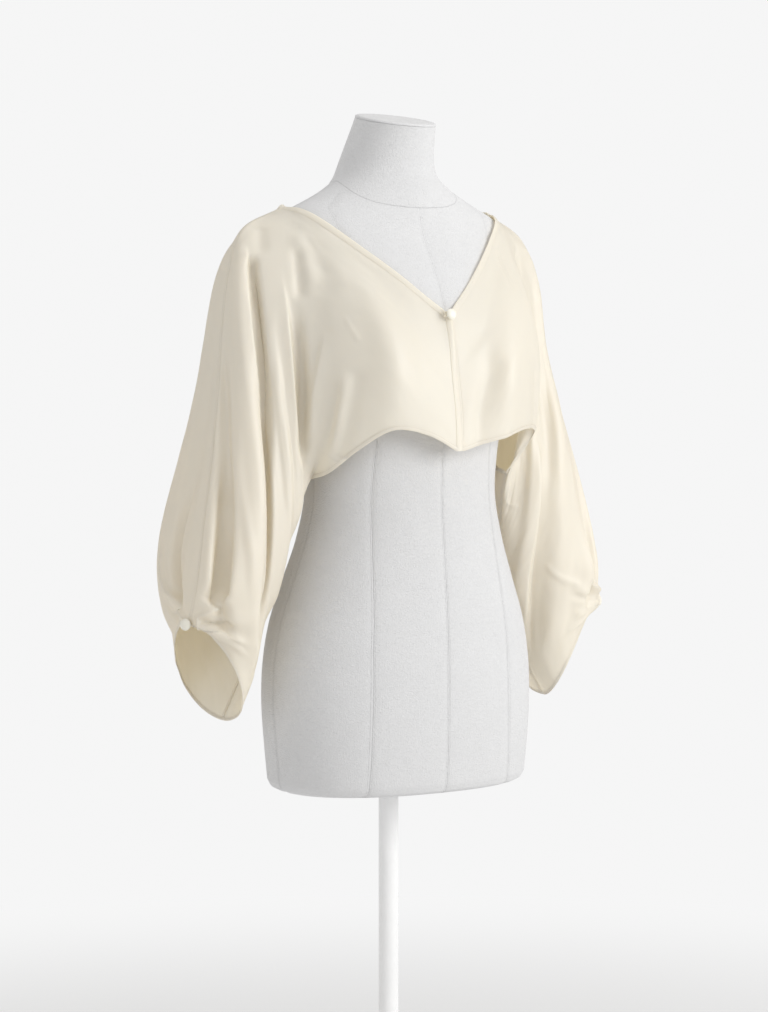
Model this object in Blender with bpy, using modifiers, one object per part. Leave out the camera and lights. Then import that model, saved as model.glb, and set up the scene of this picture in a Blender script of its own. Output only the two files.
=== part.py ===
"""Cropped batwing bolero jacket on a limbless dress form with a round stand.

Frame: metres, +Z up, origin at the middle of the base's underside. The wearer's front looks along -Y and
the wearer's right side lies at -X.

Each front and back panel is cut in one with its half of a sleeve. A panel is a sheet over two numbers:
"along" runs in sections from the centre line (0) to the cuff, and "down" runs from the neckline and the
overarm seam (0) to the hem and the underarm seam (1).
"""

import math
from collections import namedtuple

import bmesh
import bpy
import numpy as np
from mathutils import Vector

MM = 0.001
COLLECTION = "bolero_jacket_on_dress_form"

# Cloth
CLOTH = 1.2 * MM  # wall of a panel
BINDING = 2.0 * MM  # the folded strip along neck and front edges
BINDING_WIDTH = 6.5 * MM
SEAM_GAP = 0.3 * MM
FORM_CLEARANCE = 2.0 * MM  # middle of the cloth to the dress form
FRONT_LAP = 1.5 * MM  # the right front lies this much before the middle layer, the left this much behind
LAP_SECTIONS = 1.5  # sections over which the lap runs out
SLOPE_PROBE = 0.5 * MM  # step by which the dress form's slope is measured
CLEARANCE_PASSES = 4

# Grid of a panel
STEPS_PER_SECTION = 2
STEPS_DOWN = 18

# Stand
BASE_RADIUS = 170 * MM
BASE_HEIGHT = 9 * MM
BASE_EDGE = 3 * MM  # width of the rounding round its top and bottom
BASE_SIDES = 48
POLE_RADIUS = 12.5 * MM
POLE_SIDES = 24
ROUNDING_FROM = math.radians(60)  # edges sharper than this are rounded
FORM_FLOOR = 686 * MM  # underside of the torso
TOUCH_GAP = 0.3 * MM

# Buttons
FRONT_BUTTON = 6.6 * MM  # radius
CUFF_BUTTON = 7.0 * MM
BUTTON_HEIGHT = 6.0 * MM
BUTTON_BACK = 0.7  # a button's back is flatter than its dome by this factor
BUTTON_SIDES, BUTTON_RINGS = 16, 9
FRONT_BUTTON_ON = (-2 * MM, -139.5 * MM, 1266 * MM)  # where it sits on the right front's edge
FRONT_OUTWARD, FRONT_TAIL = (0, -1, 0.2), (-1, 0, 0.1)
CUFF_BUTTON_OFF = (0.6 * MM, 0.1 * MM, 0.4 * MM)  # from the end of the overarm seam: outwards, back, up
CUFF_OUTWARD, CUFF_TAIL = (1, -0.35, 0.1), (0, 1, 0.2)
LOOP_CORD = 0.9 * MM  # radius of a loop's cord
LOOP_RADIUS = 3.6 * MM
LOOP_TAIL = 8.5 * MM
LOOP_STEPS = 9
LOOP_MOUTH = math.radians(50)  # half the angle at which the loop stands open towards its tail
TAIL_SPREAD = 0.6  # of the loop's radius, from the middle to each end of the cord
FASTENING_GAP = 0.4 * MM

# Sections of a panel in millimetres, from the centre line outwards. x is counted outwards from the middle.
# top: on the neckline or the overarm seam. low: on the hem or the underarm seam. swell: how far the middle
# of the section stands out to the front or the back. inward: how far it leans to the body. rounding: 0 for
# a flat hanging section, 1 for half a tube.
Section = namedtuple("Section", "top_x top_y top_z low_x low_y low_z swell inward bias rounding")

FRONT_BODY = (
    Section(5, -137, 1262, 5, -155, 1103, 4, 0, 0, 0.0),
    Section(48, -112, 1300, 44, -155, 1123, 17, 0, 0, 0.0),
    Section(90, -77, 1338, 86, -149, 1129, 38, 0, 0, 0.0),
    Section(120, -50, 1367, 115, -121, 1107, 42, 0, 0, 0.1),
    Section(140, -25, 1385, 137, -86, 1078, 46, -6, 0, 0.3),
)
BACK_BODY = (
    Section(0, 86, 1378, 0, 100, 1106, 10, 0, 0, 0.0),
    Section(48, 82, 1381, 46, 102, 1110, 14, 0, 0, 0.0),
    Section(92, 66, 1388, 88, 99, 1112, 24, 0, 0, 0.0),
    Section(122, 44, 1393, 118, 78, 1102, 40, 0, 0, 0.1),
    Section(142, 22, 1396, 137, 22, 1082, 66, -6, 0, 0.3),
)
# The left front's hem swings out further before it returns to the side point.
LEFT_HEM = ((5, -155, 1103), (42, -156, 1112), (80, -150, 1121), (126, -122, 1128), (158, -90, 1120))

# Sleeve sections share their seams, so one table serves front and back. The two biases move a half's swell
# down its section and the inward lean up it.
Sleeve = namedtuple(
    "Sleeve", "top_x top_y top_z low_x low_y low_z front back front_in front_bias back_bias rounding"
)

SLEEVE = (
    Sleeve(156, 4, 1396, 143, -52, 1069, 47, 96, 0, 0, 0, 0.55),
    Sleeve(207, 1, 1370, 150, -46, 1050, 42, 86, 0, 0, -0.05, 0.85),
    Sleeve(227, -1, 1320, 156, -40, 1030, 42, 80, 0, 0, -0.08, 1.0),
    Sleeve(237, -1, 1246, 160, -32, 1008, 49, 90, 0, 0, -0.08, 1.0),
    Sleeve(249, -12, 1168, 165, -23, 985, 54, 117, 0, 0, -0.10, 1.0),
    Sleeve(264, -25, 1092, 172, -14, 955, 58, 147, 0, 0, -0.12, 1.0),
    Sleeve(281, -37, 1020, 180, -6, 922, 58, 161, 0, 0, -0.13, 1.0),
    Sleeve(292, -43, 960, 192, -1, 883, 57, 147, 0, 0, -0.13, 1.0),
    Sleeve(298, -40, 922, 210, -1, 830, 49, 107, 12, 0.15, 0.05, 1.0),
    Sleeve(299, -30, 899, 237, -3, 778, 45, 74, 24, 0.30, 0.30, 1.0),
)
# The left sleeve hangs flatter at the front, and its overarm seam lies further in.
LEFT_SLEEVE_FRONT = (47, 26, 24, 36, 47, 45, 40, 39, 38, 38)
LEFT_SEAM_IN = (0, 7, 5, 4, 1, 0, 3, 4, 3, 0)
SHOULDER = len(FRONT_BODY)  # the section that runs from the neck corner to the side point
CUFF = SHOULDER + len(SLEEVE) - 1

# Folds. start, middle and end are places (along, down) on the fold's line. rise is its height in
# millimetres at the start and at the end, negative for a trough. outer and inner are the widths of its two
# flanks in "down", towards the overarm seam and towards the underarm seam.
Fold = namedtuple("Fold", "name start middle end rise outer inner")

FRONT_FOLDS_RIGHT = (
    Fold("ridge_outer", (6.2, 0.07), (9.6, 0.37), (13.2, 0.60), (3, 9), 0.090, 0.035),
    Fold("trough_outer", (6.4, 0.14), (9.6, 0.47), (12.8, 0.72), (-4, -9), 0.045, 0.050),
    Fold("ridge_inner", (5.5, 0.22), (7.6, 0.54), (11.4, 0.82), (5, 5), 0.080, 0.050),
    Fold("armhole", (4.7, 0.25), (5.1, 0.55), (5.2, 0.90), (-3, -8), 0.160, 0.160),
    Fold("strip_trough", (8.2, 0.04), (10.8, 0.17), (13.3, 0.27), (-2, -13), 0.070, 0.070),
    Fold("cuff_ridge_high", (12.3, 0.46), (13.1, 0.27), (13.9, 0.06), (5, 6), 0.070, 0.070),
    Fold("cuff_ridge_low", (13.3, 0.46), (13.6, 0.30), (13.95, 0.10), (3, 4), 0.060, 0.060),
)
FRONT_FOLDS_LEFT = (
    Fold("ridge_outer", (6.0, 0.10), (9.2, 0.40), (13.0, 0.66), (3, 8), 0.100, 0.045),
    Fold("trough_outer", (6.2, 0.20), (9.2, 0.52), (12.8, 0.76), (-3, -7), 0.050, 0.060),
    Fold("ridge_inner", (5.6, 0.24), (7.9, 0.58), (11.6, 0.86), (4, 6), 0.080, 0.050),
    Fold("armhole", (4.8, 0.15), (5.1, 0.42), (5.2, 0.90), (-7, -6), 0.140, 0.140),
    Fold("strip_trough", (8.8, 0.05), (11.0, 0.18), (13.3, 0.27), (-2, -11), 0.070, 0.070),
    Fold("cuff_ridge_high", (12.2, 0.44), (13.1, 0.26), (13.9, 0.06), (4, 6), 0.070, 0.070),
    Fold("cuff_ridge_low", (13.3, 0.46), (13.6, 0.30), (13.95, 0.10), (3, 4), 0.060, 0.060),
)
BACK_FOLDS_RIGHT = (
    Fold("ridge_outer", (6.5, 0.10), (9.8, 0.33), (13.0, 0.46), (3, 8), 0.080, 0.060),
    Fold("trough_outer", (6.8, 0.20), (9.8, 0.46), (12.8, 0.62), (-3, -8), 0.060, 0.070),
    Fold("ridge_inner", (5.7, 0.26), (8.2, 0.60), (11.4, 0.80), (4, 6), 0.080, 0.060),
    Fold("armhole", (4.6, 0.20), (5.0, 0.50), (5.2, 0.90), (-5, -9), 0.150, 0.150),
    Fold("strip_trough", (8.6, 0.04), (11.0, 0.12), (13.4, 0.18), (-2, -12), 0.055, 0.055),
    Fold("blade_drape", (1.4, 0.30), (2.0, 0.60), (2.2, 0.98), (2, 5), 0.200, 0.200),
)
BACK_FOLDS_LEFT = (
    Fold("ridge_outer", (6.3, 0.08), (9.4, 0.30), (13.0, 0.44), (3, 9), 0.080, 0.060),
    Fold("trough_outer", (6.6, 0.18), (9.4, 0.43), (12.6, 0.60), (-3, -7), 0.060, 0.070),
    Fold("ridge_inner", (5.6, 0.28), (8.0, 0.62), (11.6, 0.82), (5, 5), 0.080, 0.060),
    Fold("armhole", (4.7, 0.22), (5.0, 0.52), (5.2, 0.90), (-5, -8), 0.150, 0.150),
    Fold("strip_trough", (8.8, 0.04), (11.2, 0.12), (13.4, 0.18), (-2, -12), 0.055, 0.055),
    Fold("blade_drape", (1.6, 0.28), (2.3, 0.60), (2.6, 0.98), (2, 6), 0.200, 0.200),
)
FOLD_FADE = 0.9  # sections over which a fold starts and ends
EDGE_FADE = 0.07  # part of "down" over which folds die away at a seam
HEM_FADE = 0.5  # sections over which they come back along the hem
SEAM_BLEND = 0.2  # part of "down" over which a panel's smooth middle turns into its seams

# Level rings of the dress form in millimetres, from below. power is the ring's squareness: 2 is an ellipse.
Ring = namedtuple("Ring", "z half_width front back power")

TORSO_RINGS = (
    Ring(686, 160, -124, 84, 2.3),
    Ring(689, 166, -130, 90, 2.3),
    Ring(697, 170, -134, 94, 2.3),
    Ring(740, 174, -137, 97, 2.3),
    Ring(790, 178, -138, 99, 2.25),
    Ring(840, 177, -138, 99, 2.2),
    Ring(890, 168, -136, 96, 2.2),
    Ring(940, 152, -132, 88, 2.15),
    Ring(990, 136, -127, 76, 2.1),
    Ring(1045, 125, -122, 68, 2.1),
    Ring(1100, 128, -124, 70, 2.1),
    Ring(1150, 136, -130, 78, 2.15),
    Ring(1195, 143, -136, 86, 2.2),
    Ring(1235, 149, -136, 92, 2.2),
    Ring(1270, 155, -128, 96, 2.2),
    Ring(1305, 163, -114, 97, 2.2),
    Ring(1335, 171, -97, 94, 2.15),
    Ring(1358, 175, -83, 87, 2.05),
    Ring(1376, 170, -75, 78, 1.9),
    Ring(1390, 154, -72, 70, 1.75),
    Ring(1402, 130, -70, 66, 1.65),
    Ring(1414, 106, -67, 65, 1.65),
    Ring(1426, 84, -61, 66, 1.8),
    Ring(1438, 69, -54, 67, 1.95),
    Ring(1452, 62, -52, 64, 2.0),
    Ring(1470, 57, -55, 56, 2.0),
    Ring(1490, 53, -60, 44, 2.0),
    Ring(1507, 50, -66, 34, 2.0),
)
BUST = (80, 1232, 12, 42, 52)  # beside the middle, height, forward rise, half width and half height
BUST_START = 3.0  # how fast the rise starts where a ring turns to the front
NECK_FROM = 1440 * MM  # above this the rings tip forward
NECK_TILT = math.radians(12)
RING_STEPS = 32
CAP_THICKNESS = 3 * MM
CAP_INSET = 1.2 * MM

COLOURS = {
    "silk": ((0.84, 0.79, 0.65), 0.42),
    "button": ((0.80, 0.75, 0.61), 0.38),
    "linen": ((0.83, 0.82, 0.80), 0.85),
    "painted": ((0.88, 0.88, 0.87), 0.35),
}


def clear_scene():
    """Removes everything that the open file shows."""
    for thing in list(bpy.data.objects):
        bpy.data.objects.remove(thing, do_unlink=True)


def finish_of(name):
    """The named surface finish."""
    material = bpy.data.materials.get(name)
    if material is None:
        colour, roughness = COLOURS[name]
        material = bpy.data.materials.new(name)
        material.use_nodes = True
        shader = material.node_tree.nodes["Principled BSDF"]
        shader.inputs["Base Color"].default_value = (*colour, 1.0)
        shader.inputs["Roughness"].default_value = roughness
        shader.inputs["Metallic"].default_value = 0.0
    return material


def shade_round(mesh, sharp=None):
    """Shades a mesh smooth, but for the edges whose two points are both marked as sharp."""
    mesh.polygons.foreach_set("use_smooth", [True] * len(mesh.polygons))
    if sharp is not None:
        ends = np.zeros(len(mesh.edges) * 2, dtype=np.int32)
        mesh.edges.foreach_get("vertices", ends)
        mesh.edges.foreach_set("use_edge_sharp", sharp[ends.reshape(-1, 2)].all(axis=1))


def place(thing, finish):
    """Puts an object in the collection and gives it its finish."""
    collection = bpy.data.collections.get(COLLECTION)
    if collection is None:
        collection = bpy.data.collections.new(COLLECTION)
        bpy.context.scene.collection.children.link(collection)
    for other in list(thing.users_collection):
        other.objects.unlink(thing)
    collection.objects.link(thing)
    thing.data.materials.clear()
    thing.data.materials.append(finish_of(finish))
    return thing


def through(rows, at):
    """Values of a table's columns at places between its rows, on a smooth curve through each row."""
    rows = np.asarray(rows, float)
    at = np.asarray(at, float)
    last = len(rows) - 1
    low = np.clip(np.floor(at).astype(int), 0, last - 1)
    t = (at - low)[..., None]
    here, there = rows[low], rows[low + 1]
    before = np.where((low > 0)[..., None], rows[np.maximum(low - 1, 0)], 2 * here - there)
    beyond = np.where((low + 2 <= last)[..., None], rows[np.minimum(low + 2, last)], 2 * there - here)
    cubic = 3 * (here - there) + beyond - before
    square = 2 * before - 5 * here + 4 * there - beyond
    return here + 0.5 * t * (there - before + t * (square + t * cubic))


def ring_at(z):
    """Half width, middle, half depth and squareness of the dress form at heights z."""
    heights = np.array([ring.z for ring in TORSO_RINGS]) * MM
    rings = through([ring[1:] for ring in TORSO_RINGS], np.interp(z, heights, np.arange(len(heights))))
    half_width, front, back, power = np.moveaxis(rings, -1, 0)
    return half_width * MM, (front + back) / 2 * MM, (back - front) / 2 * MM, power


def bust_rise(x, z):
    """How far the form's front stands further out at x and z."""
    beside, height, rise, wide, tall = (value * MM for value in BUST)
    return rise * np.exp(-(((np.abs(x) - beside) / wide) ** 2) - ((z - height) / tall) ** 2)


def form_level(points):
    """1 on the form's surface, less inside it and more outside."""
    x, y, z = np.moveaxis(points, -1, 0)
    half_width, middle, half_depth, power = ring_at(z)
    y = np.where(y < middle, y + bust_rise(x, z), y)
    return (np.abs(x / half_width) ** power + np.abs((y - middle) / half_depth) ** power) ** (1 / power)


def clear_of_form(points, clearance):
    """The points, moved out along the form's slope wherever they lie nearer to it than the clearance."""
    points = points.copy()
    steps = SLOPE_PROBE * np.eye(3)
    for _ in range(CLEARANCE_PASSES):
        rises = [form_level(points + step) - form_level(points - step) for step in steps]
        slope = np.stack(rises, axis=-1) / (2 * SLOPE_PROBE)
        steep = np.linalg.norm(slope, axis=-1, keepdims=True)
        distance = (form_level(points)[..., None] - 1) / steep
        points += slope / steep * np.maximum(clearance - distance, 0)
    return points


def fold_height(folds, along, down):
    """Sum of the folds' heights: each is a bump about its line, with flanks of two widths."""
    total = np.zeros(np.broadcast(along, down).shape)
    for fold in folds:
        (a0, d0), (a1, d1), (a2, d2) = fold.start, fold.middle, fold.end
        line = (
            d0 * (along - a1) * (along - a2) / ((a0 - a1) * (a0 - a2))
            + d1 * (along - a0) * (along - a2) / ((a1 - a0) * (a1 - a2))
            + d2 * (along - a0) * (along - a1) / ((a2 - a0) * (a2 - a1))
        )
        part = np.clip((along - a0) / (a2 - a0), 0, 1)
        height = fold.rise[0] + (fold.rise[1] - fold.rise[0]) * part
        fade = min(FOLD_FADE, (a2 - a0) / 2)
        window = smooth_step((along - a0) / fade + 0.5) * smooth_step((a2 - along) / fade + 0.5)
        off = down - line
        width = np.where(off < 0, fold.outer, fold.inner)
        total += height * MM * window * np.exp(-((off / width) ** 2))
    return total


def smooth_step(value):
    """0 below 0, 1 above 1, and a soft S between."""
    value = np.clip(value, 0, 1)
    return value * value * (3 - 2 * value)


def normals_of(points):
    """Unit normals of a grid of points, from its two directions."""
    normal = np.cross(np.gradient(points, axis=0), np.gradient(points, axis=1))
    return normal / np.linalg.norm(normal, axis=-1, keepdims=True)


def section_points(table, down, outward):
    """Points of sections: each runs from its top to its low point and swells to the front or the back."""
    top, low = table[..., 0:3] * MM, table[..., 3:6] * MM
    swell, inward, bias, rounding = (table[..., k : k + 1] for k in (6, 7, 8, 9))
    share = down[..., None]
    round_share = (1 - np.cos(math.pi * share)) / 2
    arch = np.sin(math.pi * share)
    tilt = bias * (2 * share - 1)
    points = top + (low - top) * ((1 - rounding) * share + rounding * round_share)
    points = points + arch * (1 + tilt) * swell * MM * np.array([0.0, outward, 0.0])
    return points - arch * (1 - tilt) * inward * MM * np.array([1.0, 0.0, 0.0])


def panel_points(side, is_front, folds, along, down):
    """The middle of a panel's cloth. side is -1 for the wearer's right and 1 for the left."""
    body = [list(section) for section in (FRONT_BODY if is_front else BACK_BODY)]
    if is_front and side > 0:
        for section, low in zip(body, LEFT_HEM):
            section[3:6] = low
    sleeve_rows = SLEEVE
    if side > 0:
        sleeve_rows = [row._replace(top_x=row.top_x - shift) for row, shift in zip(SLEEVE, LEFT_SEAM_IN)]
    if is_front:
        swells = LEFT_SLEEVE_FRONT if side > 0 else [row.front for row in SLEEVE]
        sleeve = [
            [*row[:6], swell, row.front_in, row.front_bias, row.rounding] for row, swell in zip(sleeve_rows, swells)
        ]
    else:
        sleeve = [[*row[:6], row.back, 0, row.back_bias, row.rounding] for row in sleeve_rows]
    along, down = np.meshgrid(along, down, indexing="ij")
    outward = -1.0 if is_front else 1.0
    smooth = section_points(through(body + sleeve, along), down, outward)
    # At its edges the sleeve keeps to the seams that front and back share.
    seamed = np.where(
        (along < SHOULDER)[..., None],
        section_points(through(body + sleeve[:1], np.minimum(along, SHOULDER)), down, outward),
        section_points(through(sleeve, np.maximum(along - SHOULDER, 0)), down, outward),
    )
    inside = smooth_step(np.minimum(down, 1 - down) / SEAM_BLEND)[..., None]
    points = seamed + (smooth - seamed) * inside
    points[..., 0] *= side
    facing = normals_of(points)
    facing *= np.sign(np.sum(facing[:, :, 1] * outward))
    fade = smooth_step(down / EDGE_FADE) * smooth_step((1 - down) / EDGE_FADE)
    at_hem = smooth_step((SHOULDER - along) / HEM_FADE)
    fade = np.maximum(fade, smooth_step(down / EDGE_FADE) * at_hem)
    points = points + facing * (fold_height(folds, along, down) * fade)[..., None]
    if is_front:
        points[..., 1] += side * FRONT_LAP * smooth_step(1 - along / LAP_SECTIONS)
    return clear_of_form(points, FORM_CLEARANCE), facing


def open_seams(points, facing, side, is_front):
    """Draws the seam edges back from the seam, so that the walls of two panels stay SEAM_GAP apart."""
    points = points.copy()
    outward = -1.0 if is_front else 1.0
    back_from = SEAM_GAP / 2 + CLOTH / 2 * np.abs(facing[..., 1])
    first = SHOULDER * STEPS_PER_SECTION
    for edge in (0, -1):
        points[first:, edge, 1] += outward * back_from[first:, edge]
    if not is_front:
        points[0, :, 0] += side * (SEAM_GAP / 2 + CLOTH / 2 * np.abs(facing[0, :, 0]))
    return points


def add_sheet(name, points, thickness, finish):
    """A grid of points as a sheet with a wall of the given thickness, half to each side."""
    rows, columns = points.shape[:2]
    index = np.arange(rows * columns).reshape(rows, columns)
    corners = np.stack([index[:-1, :-1], index[1:, :-1], index[1:, 1:], index[:-1, 1:]], axis=-1)
    mesh = bpy.data.meshes.new(name)
    mesh.from_pydata(points.reshape(-1, 3).tolist(), [], corners.reshape(-1, 4).tolist())
    on_rim = np.ones((rows, columns), dtype=bool)
    on_rim[1:-1, 1:-1] = False
    shade_round(mesh, on_rim.ravel())
    thing = bpy.data.objects.new(name, mesh)
    wall = thing.modifiers.new("wall", "SOLIDIFY")
    wall.thickness = thickness
    wall.offset = 0.0
    return place(thing, finish)


def edge_strip(path, facing, side, gap, width):
    """A strip beside a path: three lines of points from the gap out to the width."""
    ahead = np.gradient(path, axis=0)
    ahead /= np.linalg.norm(ahead, axis=-1, keepdims=True)
    aside = np.cross(ahead, facing) * -side
    aside /= np.linalg.norm(aside, axis=-1, keepdims=True)
    steps = np.diff(path, axis=0)
    steps /= np.linalg.norm(steps, axis=-1, keepdims=True)
    turn = np.ones(len(path))
    turn[1:-1] = np.sqrt(np.clip((1 + np.sum(steps[1:] * steps[:-1], axis=-1)) / 2, 0.3, 1))
    lines = [path + aside * (reach / turn)[:, None] for reach in (gap, gap + width / 2, gap + width)]
    return np.stack(lines, axis=1)


def add_binding(name, side, front, front_facing, back, back_facing):
    """The bound edge of one side: up the front edge, round the neck to the centre back."""
    neck = SHOULDER * STEPS_PER_SECTION
    path, facing = (
        np.concatenate([before[0, :0:-1], before[: neck + 1, 0], behind[neck - 1 :: -1, 0]])
        for before, behind in ((front, back), (front_facing, back_facing))
    )
    corner = STEPS_DOWN + neck
    path[corner] = (front[neck, 0] + back[neck, 0]) / 2
    facing[corner] = front_facing[neck, 0] + back_facing[neck, 0]
    facing[corner] /= np.linalg.norm(facing[corner])
    strip = edge_strip(path, facing, side, SEAM_GAP, BINDING_WIDTH)
    strip[-1, :, 0] = side * SEAM_GAP / 2
    return add_sheet(name, clear_of_form(strip, FORM_CLEARANCE + BINDING / 2 - CLOTH / 2), BINDING, "silk")


def add_torso():
    """The linen-covered torso and neck: level rings, tipped forward along the neck, closed at both ends."""
    turn = np.arange(RING_STEPS) * 2 * math.pi / RING_STEPS
    z = np.array([ring.z for ring in TORSO_RINGS])[:, None] * MM + 0 * turn
    half_width, middle, half_depth, power = ring_at(z)
    cosine, sine = np.cos(turn), np.sin(turn)
    scale = (np.abs(cosine) ** power + np.abs(sine) ** power) ** (-1 / power)
    x, y = half_width * cosine * scale, half_depth * sine * scale
    y = middle + y - np.where(y < 0, bust_rise(x, z), 0) * smooth_step(-sine * BUST_START)
    top = TORSO_RINGS[-1].z * MM
    tip = np.clip((z - NECK_FROM) / (top - NECK_FROM), 0, 1) * math.tan(NECK_TILT)
    points = np.stack([x, y, z + (y - middle) * tip], axis=-1)
    rings = len(TORSO_RINGS)
    index = np.arange(rings * RING_STEPS).reshape(rings, RING_STEPS)
    beside = np.roll(index, -1, axis=1)
    faces = np.stack([index[:-1], beside[:-1], beside[1:], index[1:]], axis=-1).reshape(-1, 4).tolist()
    faces += [index[0, ::-1].tolist(), index[-1].tolist()]
    mesh = bpy.data.meshes.new("torso_form")
    mesh.from_pydata(points.reshape(-1, 3).tolist(), [], faces)
    shade_round(mesh)
    return place(bpy.data.objects.new("torso_form", mesh), "linen")


def add_neck_cap():
    """The thin covered disc on the neck's cut, tipped with it."""
    ring = TORSO_RINGS[-1]
    depth = (ring.back - ring.front) / 2 * MM
    bpy.ops.mesh.primitive_cylinder_add(vertices=RING_STEPS, radius=1.0, depth=CAP_THICKNESS)
    cap = bpy.context.object
    cap.name = "neck_cap"
    shape = bmesh.new()
    shape.from_mesh(cap.data)
    for point in shape.verts:
        point.co.x *= ring.half_width * MM - CAP_INSET
        point.co.y *= depth / math.cos(NECK_TILT) - CAP_INSET
    shape.to_mesh(cap.data)
    shape.free()
    lift = CAP_THICKNESS / 2 + TOUCH_GAP
    middle = (ring.front + ring.back) / 2 * MM
    cap.location = (0, middle - lift * math.sin(NECK_TILT), ring.z * MM + lift * math.cos(NECK_TILT))
    cap.rotation_euler = (NECK_TILT, 0, 0)
    return place(cap, "linen")


def add_disc(name, radius, low, high, finish, edge, sides):
    """An upright round piece between two heights with a rounded edge."""
    bpy.ops.mesh.primitive_cylinder_add(vertices=sides, radius=radius, depth=high - low)
    disc = bpy.context.object
    disc.name = name
    disc.location = (0, 0, (low + high) / 2)
    bpy.ops.object.shade_smooth_by_angle(angle=ROUNDING_FROM)
    if edge:
        rounding = disc.modifiers.new("edge", "BEVEL")
        rounding.width = edge
        rounding.segments = 2
        rounding.limit_method = "ANGLE"
        rounding.angle_limit = ROUNDING_FROM
    return place(disc, finish)


def add_fastening(button_name, loop_name, on_cloth, outward, tail, radius):
    """A covered button over the cloth at one point, and the rouleau loop that passes under it.

    outward is the cloth's direction there, and tail the way in which the loop's two ends run.
    """
    outward = np.array(outward, float) / np.linalg.norm(outward)
    across = np.cross(outward, tail)
    across /= np.linalg.norm(across)
    tail = np.cross(across, outward)
    loop_lift = BINDING / 2 + FASTENING_GAP + LOOP_CORD
    dome = BUTTON_HEIGHT / 2
    back = dome * BUTTON_BACK
    centre = np.array(on_cloth) + outward * (loop_lift + LOOP_CORD + FASTENING_GAP + back)
    bpy.ops.mesh.primitive_uv_sphere_add(segments=BUTTON_SIDES, ring_count=BUTTON_RINGS, radius=radius)
    button = bpy.context.object
    button.name = button_name
    shape = bmesh.new()
    shape.from_mesh(button.data)
    for point in shape.verts:
        point.co.z *= (dome if point.co.z > 0 else back) / radius
    shape.to_mesh(button.data)
    shape.free()
    shade_round(button.data)
    button.location = centre
    button.rotation_euler = Vector(outward).to_track_quat("Z", "Y").to_euler()
    place(button, "button")

    curve = bpy.data.curves.new(loop_name, "CURVE")
    curve.dimensions = "3D"
    curve.bevel_depth = LOOP_CORD
    curve.bevel_resolution = 1
    curve.use_fill_caps = True
    line = curve.splines.new("POLY")
    turn = np.linspace(LOOP_MOUTH, 2 * math.pi - LOOP_MOUTH, LOOP_STEPS)
    round_part = [(LOOP_RADIUS * math.cos(t), LOOP_RADIUS * math.sin(t)) for t in turn]
    spread = LOOP_RADIUS * TAIL_SPREAD
    steps = [(LOOP_TAIL, spread), *round_part, (LOOP_TAIL, -spread)]
    line.points.add(len(steps) - 1)
    for target, (by_tail, by_across) in zip(line.points, steps):
        place_of = np.array(on_cloth) + outward * loop_lift + tail * by_tail + across * by_across
        target.co = (*place_of, 1.0)
    place(bpy.data.objects.new(loop_name, curve), "silk")


def build():
    """Builds every piece."""
    clear_scene()
    along = np.arange(CUFF * STEPS_PER_SECTION + 1) / STEPS_PER_SECTION
    down = np.arange(STEPS_DOWN + 1) / STEPS_DOWN
    for side, label, front_folds, back_folds in (
        (-1, "right", FRONT_FOLDS_RIGHT, BACK_FOLDS_RIGHT),
        (1, "left", FRONT_FOLDS_LEFT, BACK_FOLDS_LEFT),
    ):
        front, front_facing = panel_points(side, True, front_folds, along, down)
        back, back_facing = panel_points(side, False, back_folds, along, down)
        add_sheet("front_" + label, open_seams(front, front_facing, side, True), CLOTH, "silk")
        add_sheet("back_" + label, open_seams(back, back_facing, side, False), CLOTH, "silk")
        add_binding("edge_binding_" + label, side, front, front_facing, back, back_facing)
        mirror = np.array([side, 1, 1])
        cuff = (front[-1, 0] + back[-1, 0]) / 2 + mirror * CUFF_BUTTON_OFF
        names = "cuff_button_" + label, "cuff_loop_" + label
        add_fastening(*names, cuff, mirror * CUFF_OUTWARD, CUFF_TAIL, CUFF_BUTTON)
    add_fastening("front_button", "front_loop", FRONT_BUTTON_ON, FRONT_OUTWARD, FRONT_TAIL, FRONT_BUTTON)
    add_torso()
    add_neck_cap()
    add_disc("pole", POLE_RADIUS, BASE_HEIGHT + TOUCH_GAP, FORM_FLOOR - TOUCH_GAP, "painted", 0, POLE_SIDES)
    add_disc("base_disc", BASE_RADIUS, 0, BASE_HEIGHT, "painted", BASE_EDGE, BASE_SIDES)


build()
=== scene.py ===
"""Looks of a cropped satin bolero on a linen-covered dress form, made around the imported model.

Frame: metres, +Z up, origin at the middle of the base's underside. The wearer's front looks along -Y and
the wearer's right side lies at -X. A panel of the jacket is a sheet over two numbers: "along" runs in
sections from the centre line (0) to the cuff, and "down" runs from the neckline and the overarm seam (0)
to the hem and the underarm seam (1).
"""

import logging
import math
from collections.abc import Sequence
from dataclasses import dataclass, field
from enum import Enum
from typing import NamedTuple

import bpy
import numpy as np
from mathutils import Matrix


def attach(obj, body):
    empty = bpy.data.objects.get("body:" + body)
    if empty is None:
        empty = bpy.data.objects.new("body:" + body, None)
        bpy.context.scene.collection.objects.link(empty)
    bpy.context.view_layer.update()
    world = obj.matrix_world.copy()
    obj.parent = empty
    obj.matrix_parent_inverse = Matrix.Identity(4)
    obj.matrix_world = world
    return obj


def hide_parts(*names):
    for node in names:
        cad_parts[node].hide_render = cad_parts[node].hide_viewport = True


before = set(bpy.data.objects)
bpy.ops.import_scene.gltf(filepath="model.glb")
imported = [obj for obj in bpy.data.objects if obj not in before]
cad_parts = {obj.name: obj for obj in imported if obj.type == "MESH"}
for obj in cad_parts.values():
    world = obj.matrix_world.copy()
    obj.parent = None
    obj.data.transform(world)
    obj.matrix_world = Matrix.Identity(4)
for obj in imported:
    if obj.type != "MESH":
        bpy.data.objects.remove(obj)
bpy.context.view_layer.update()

MM = 0.001
BODY = "root"
log = logging.getLogger("bolero")


class Side(Enum):
    """The wearer's side, with the sign of its X."""

    RIGHT = -1
    LEFT = 1


class Half(Enum):
    """The front or the back of the jacket, with the sign of its Y."""

    FRONT = -1
    BACK = 1


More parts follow.
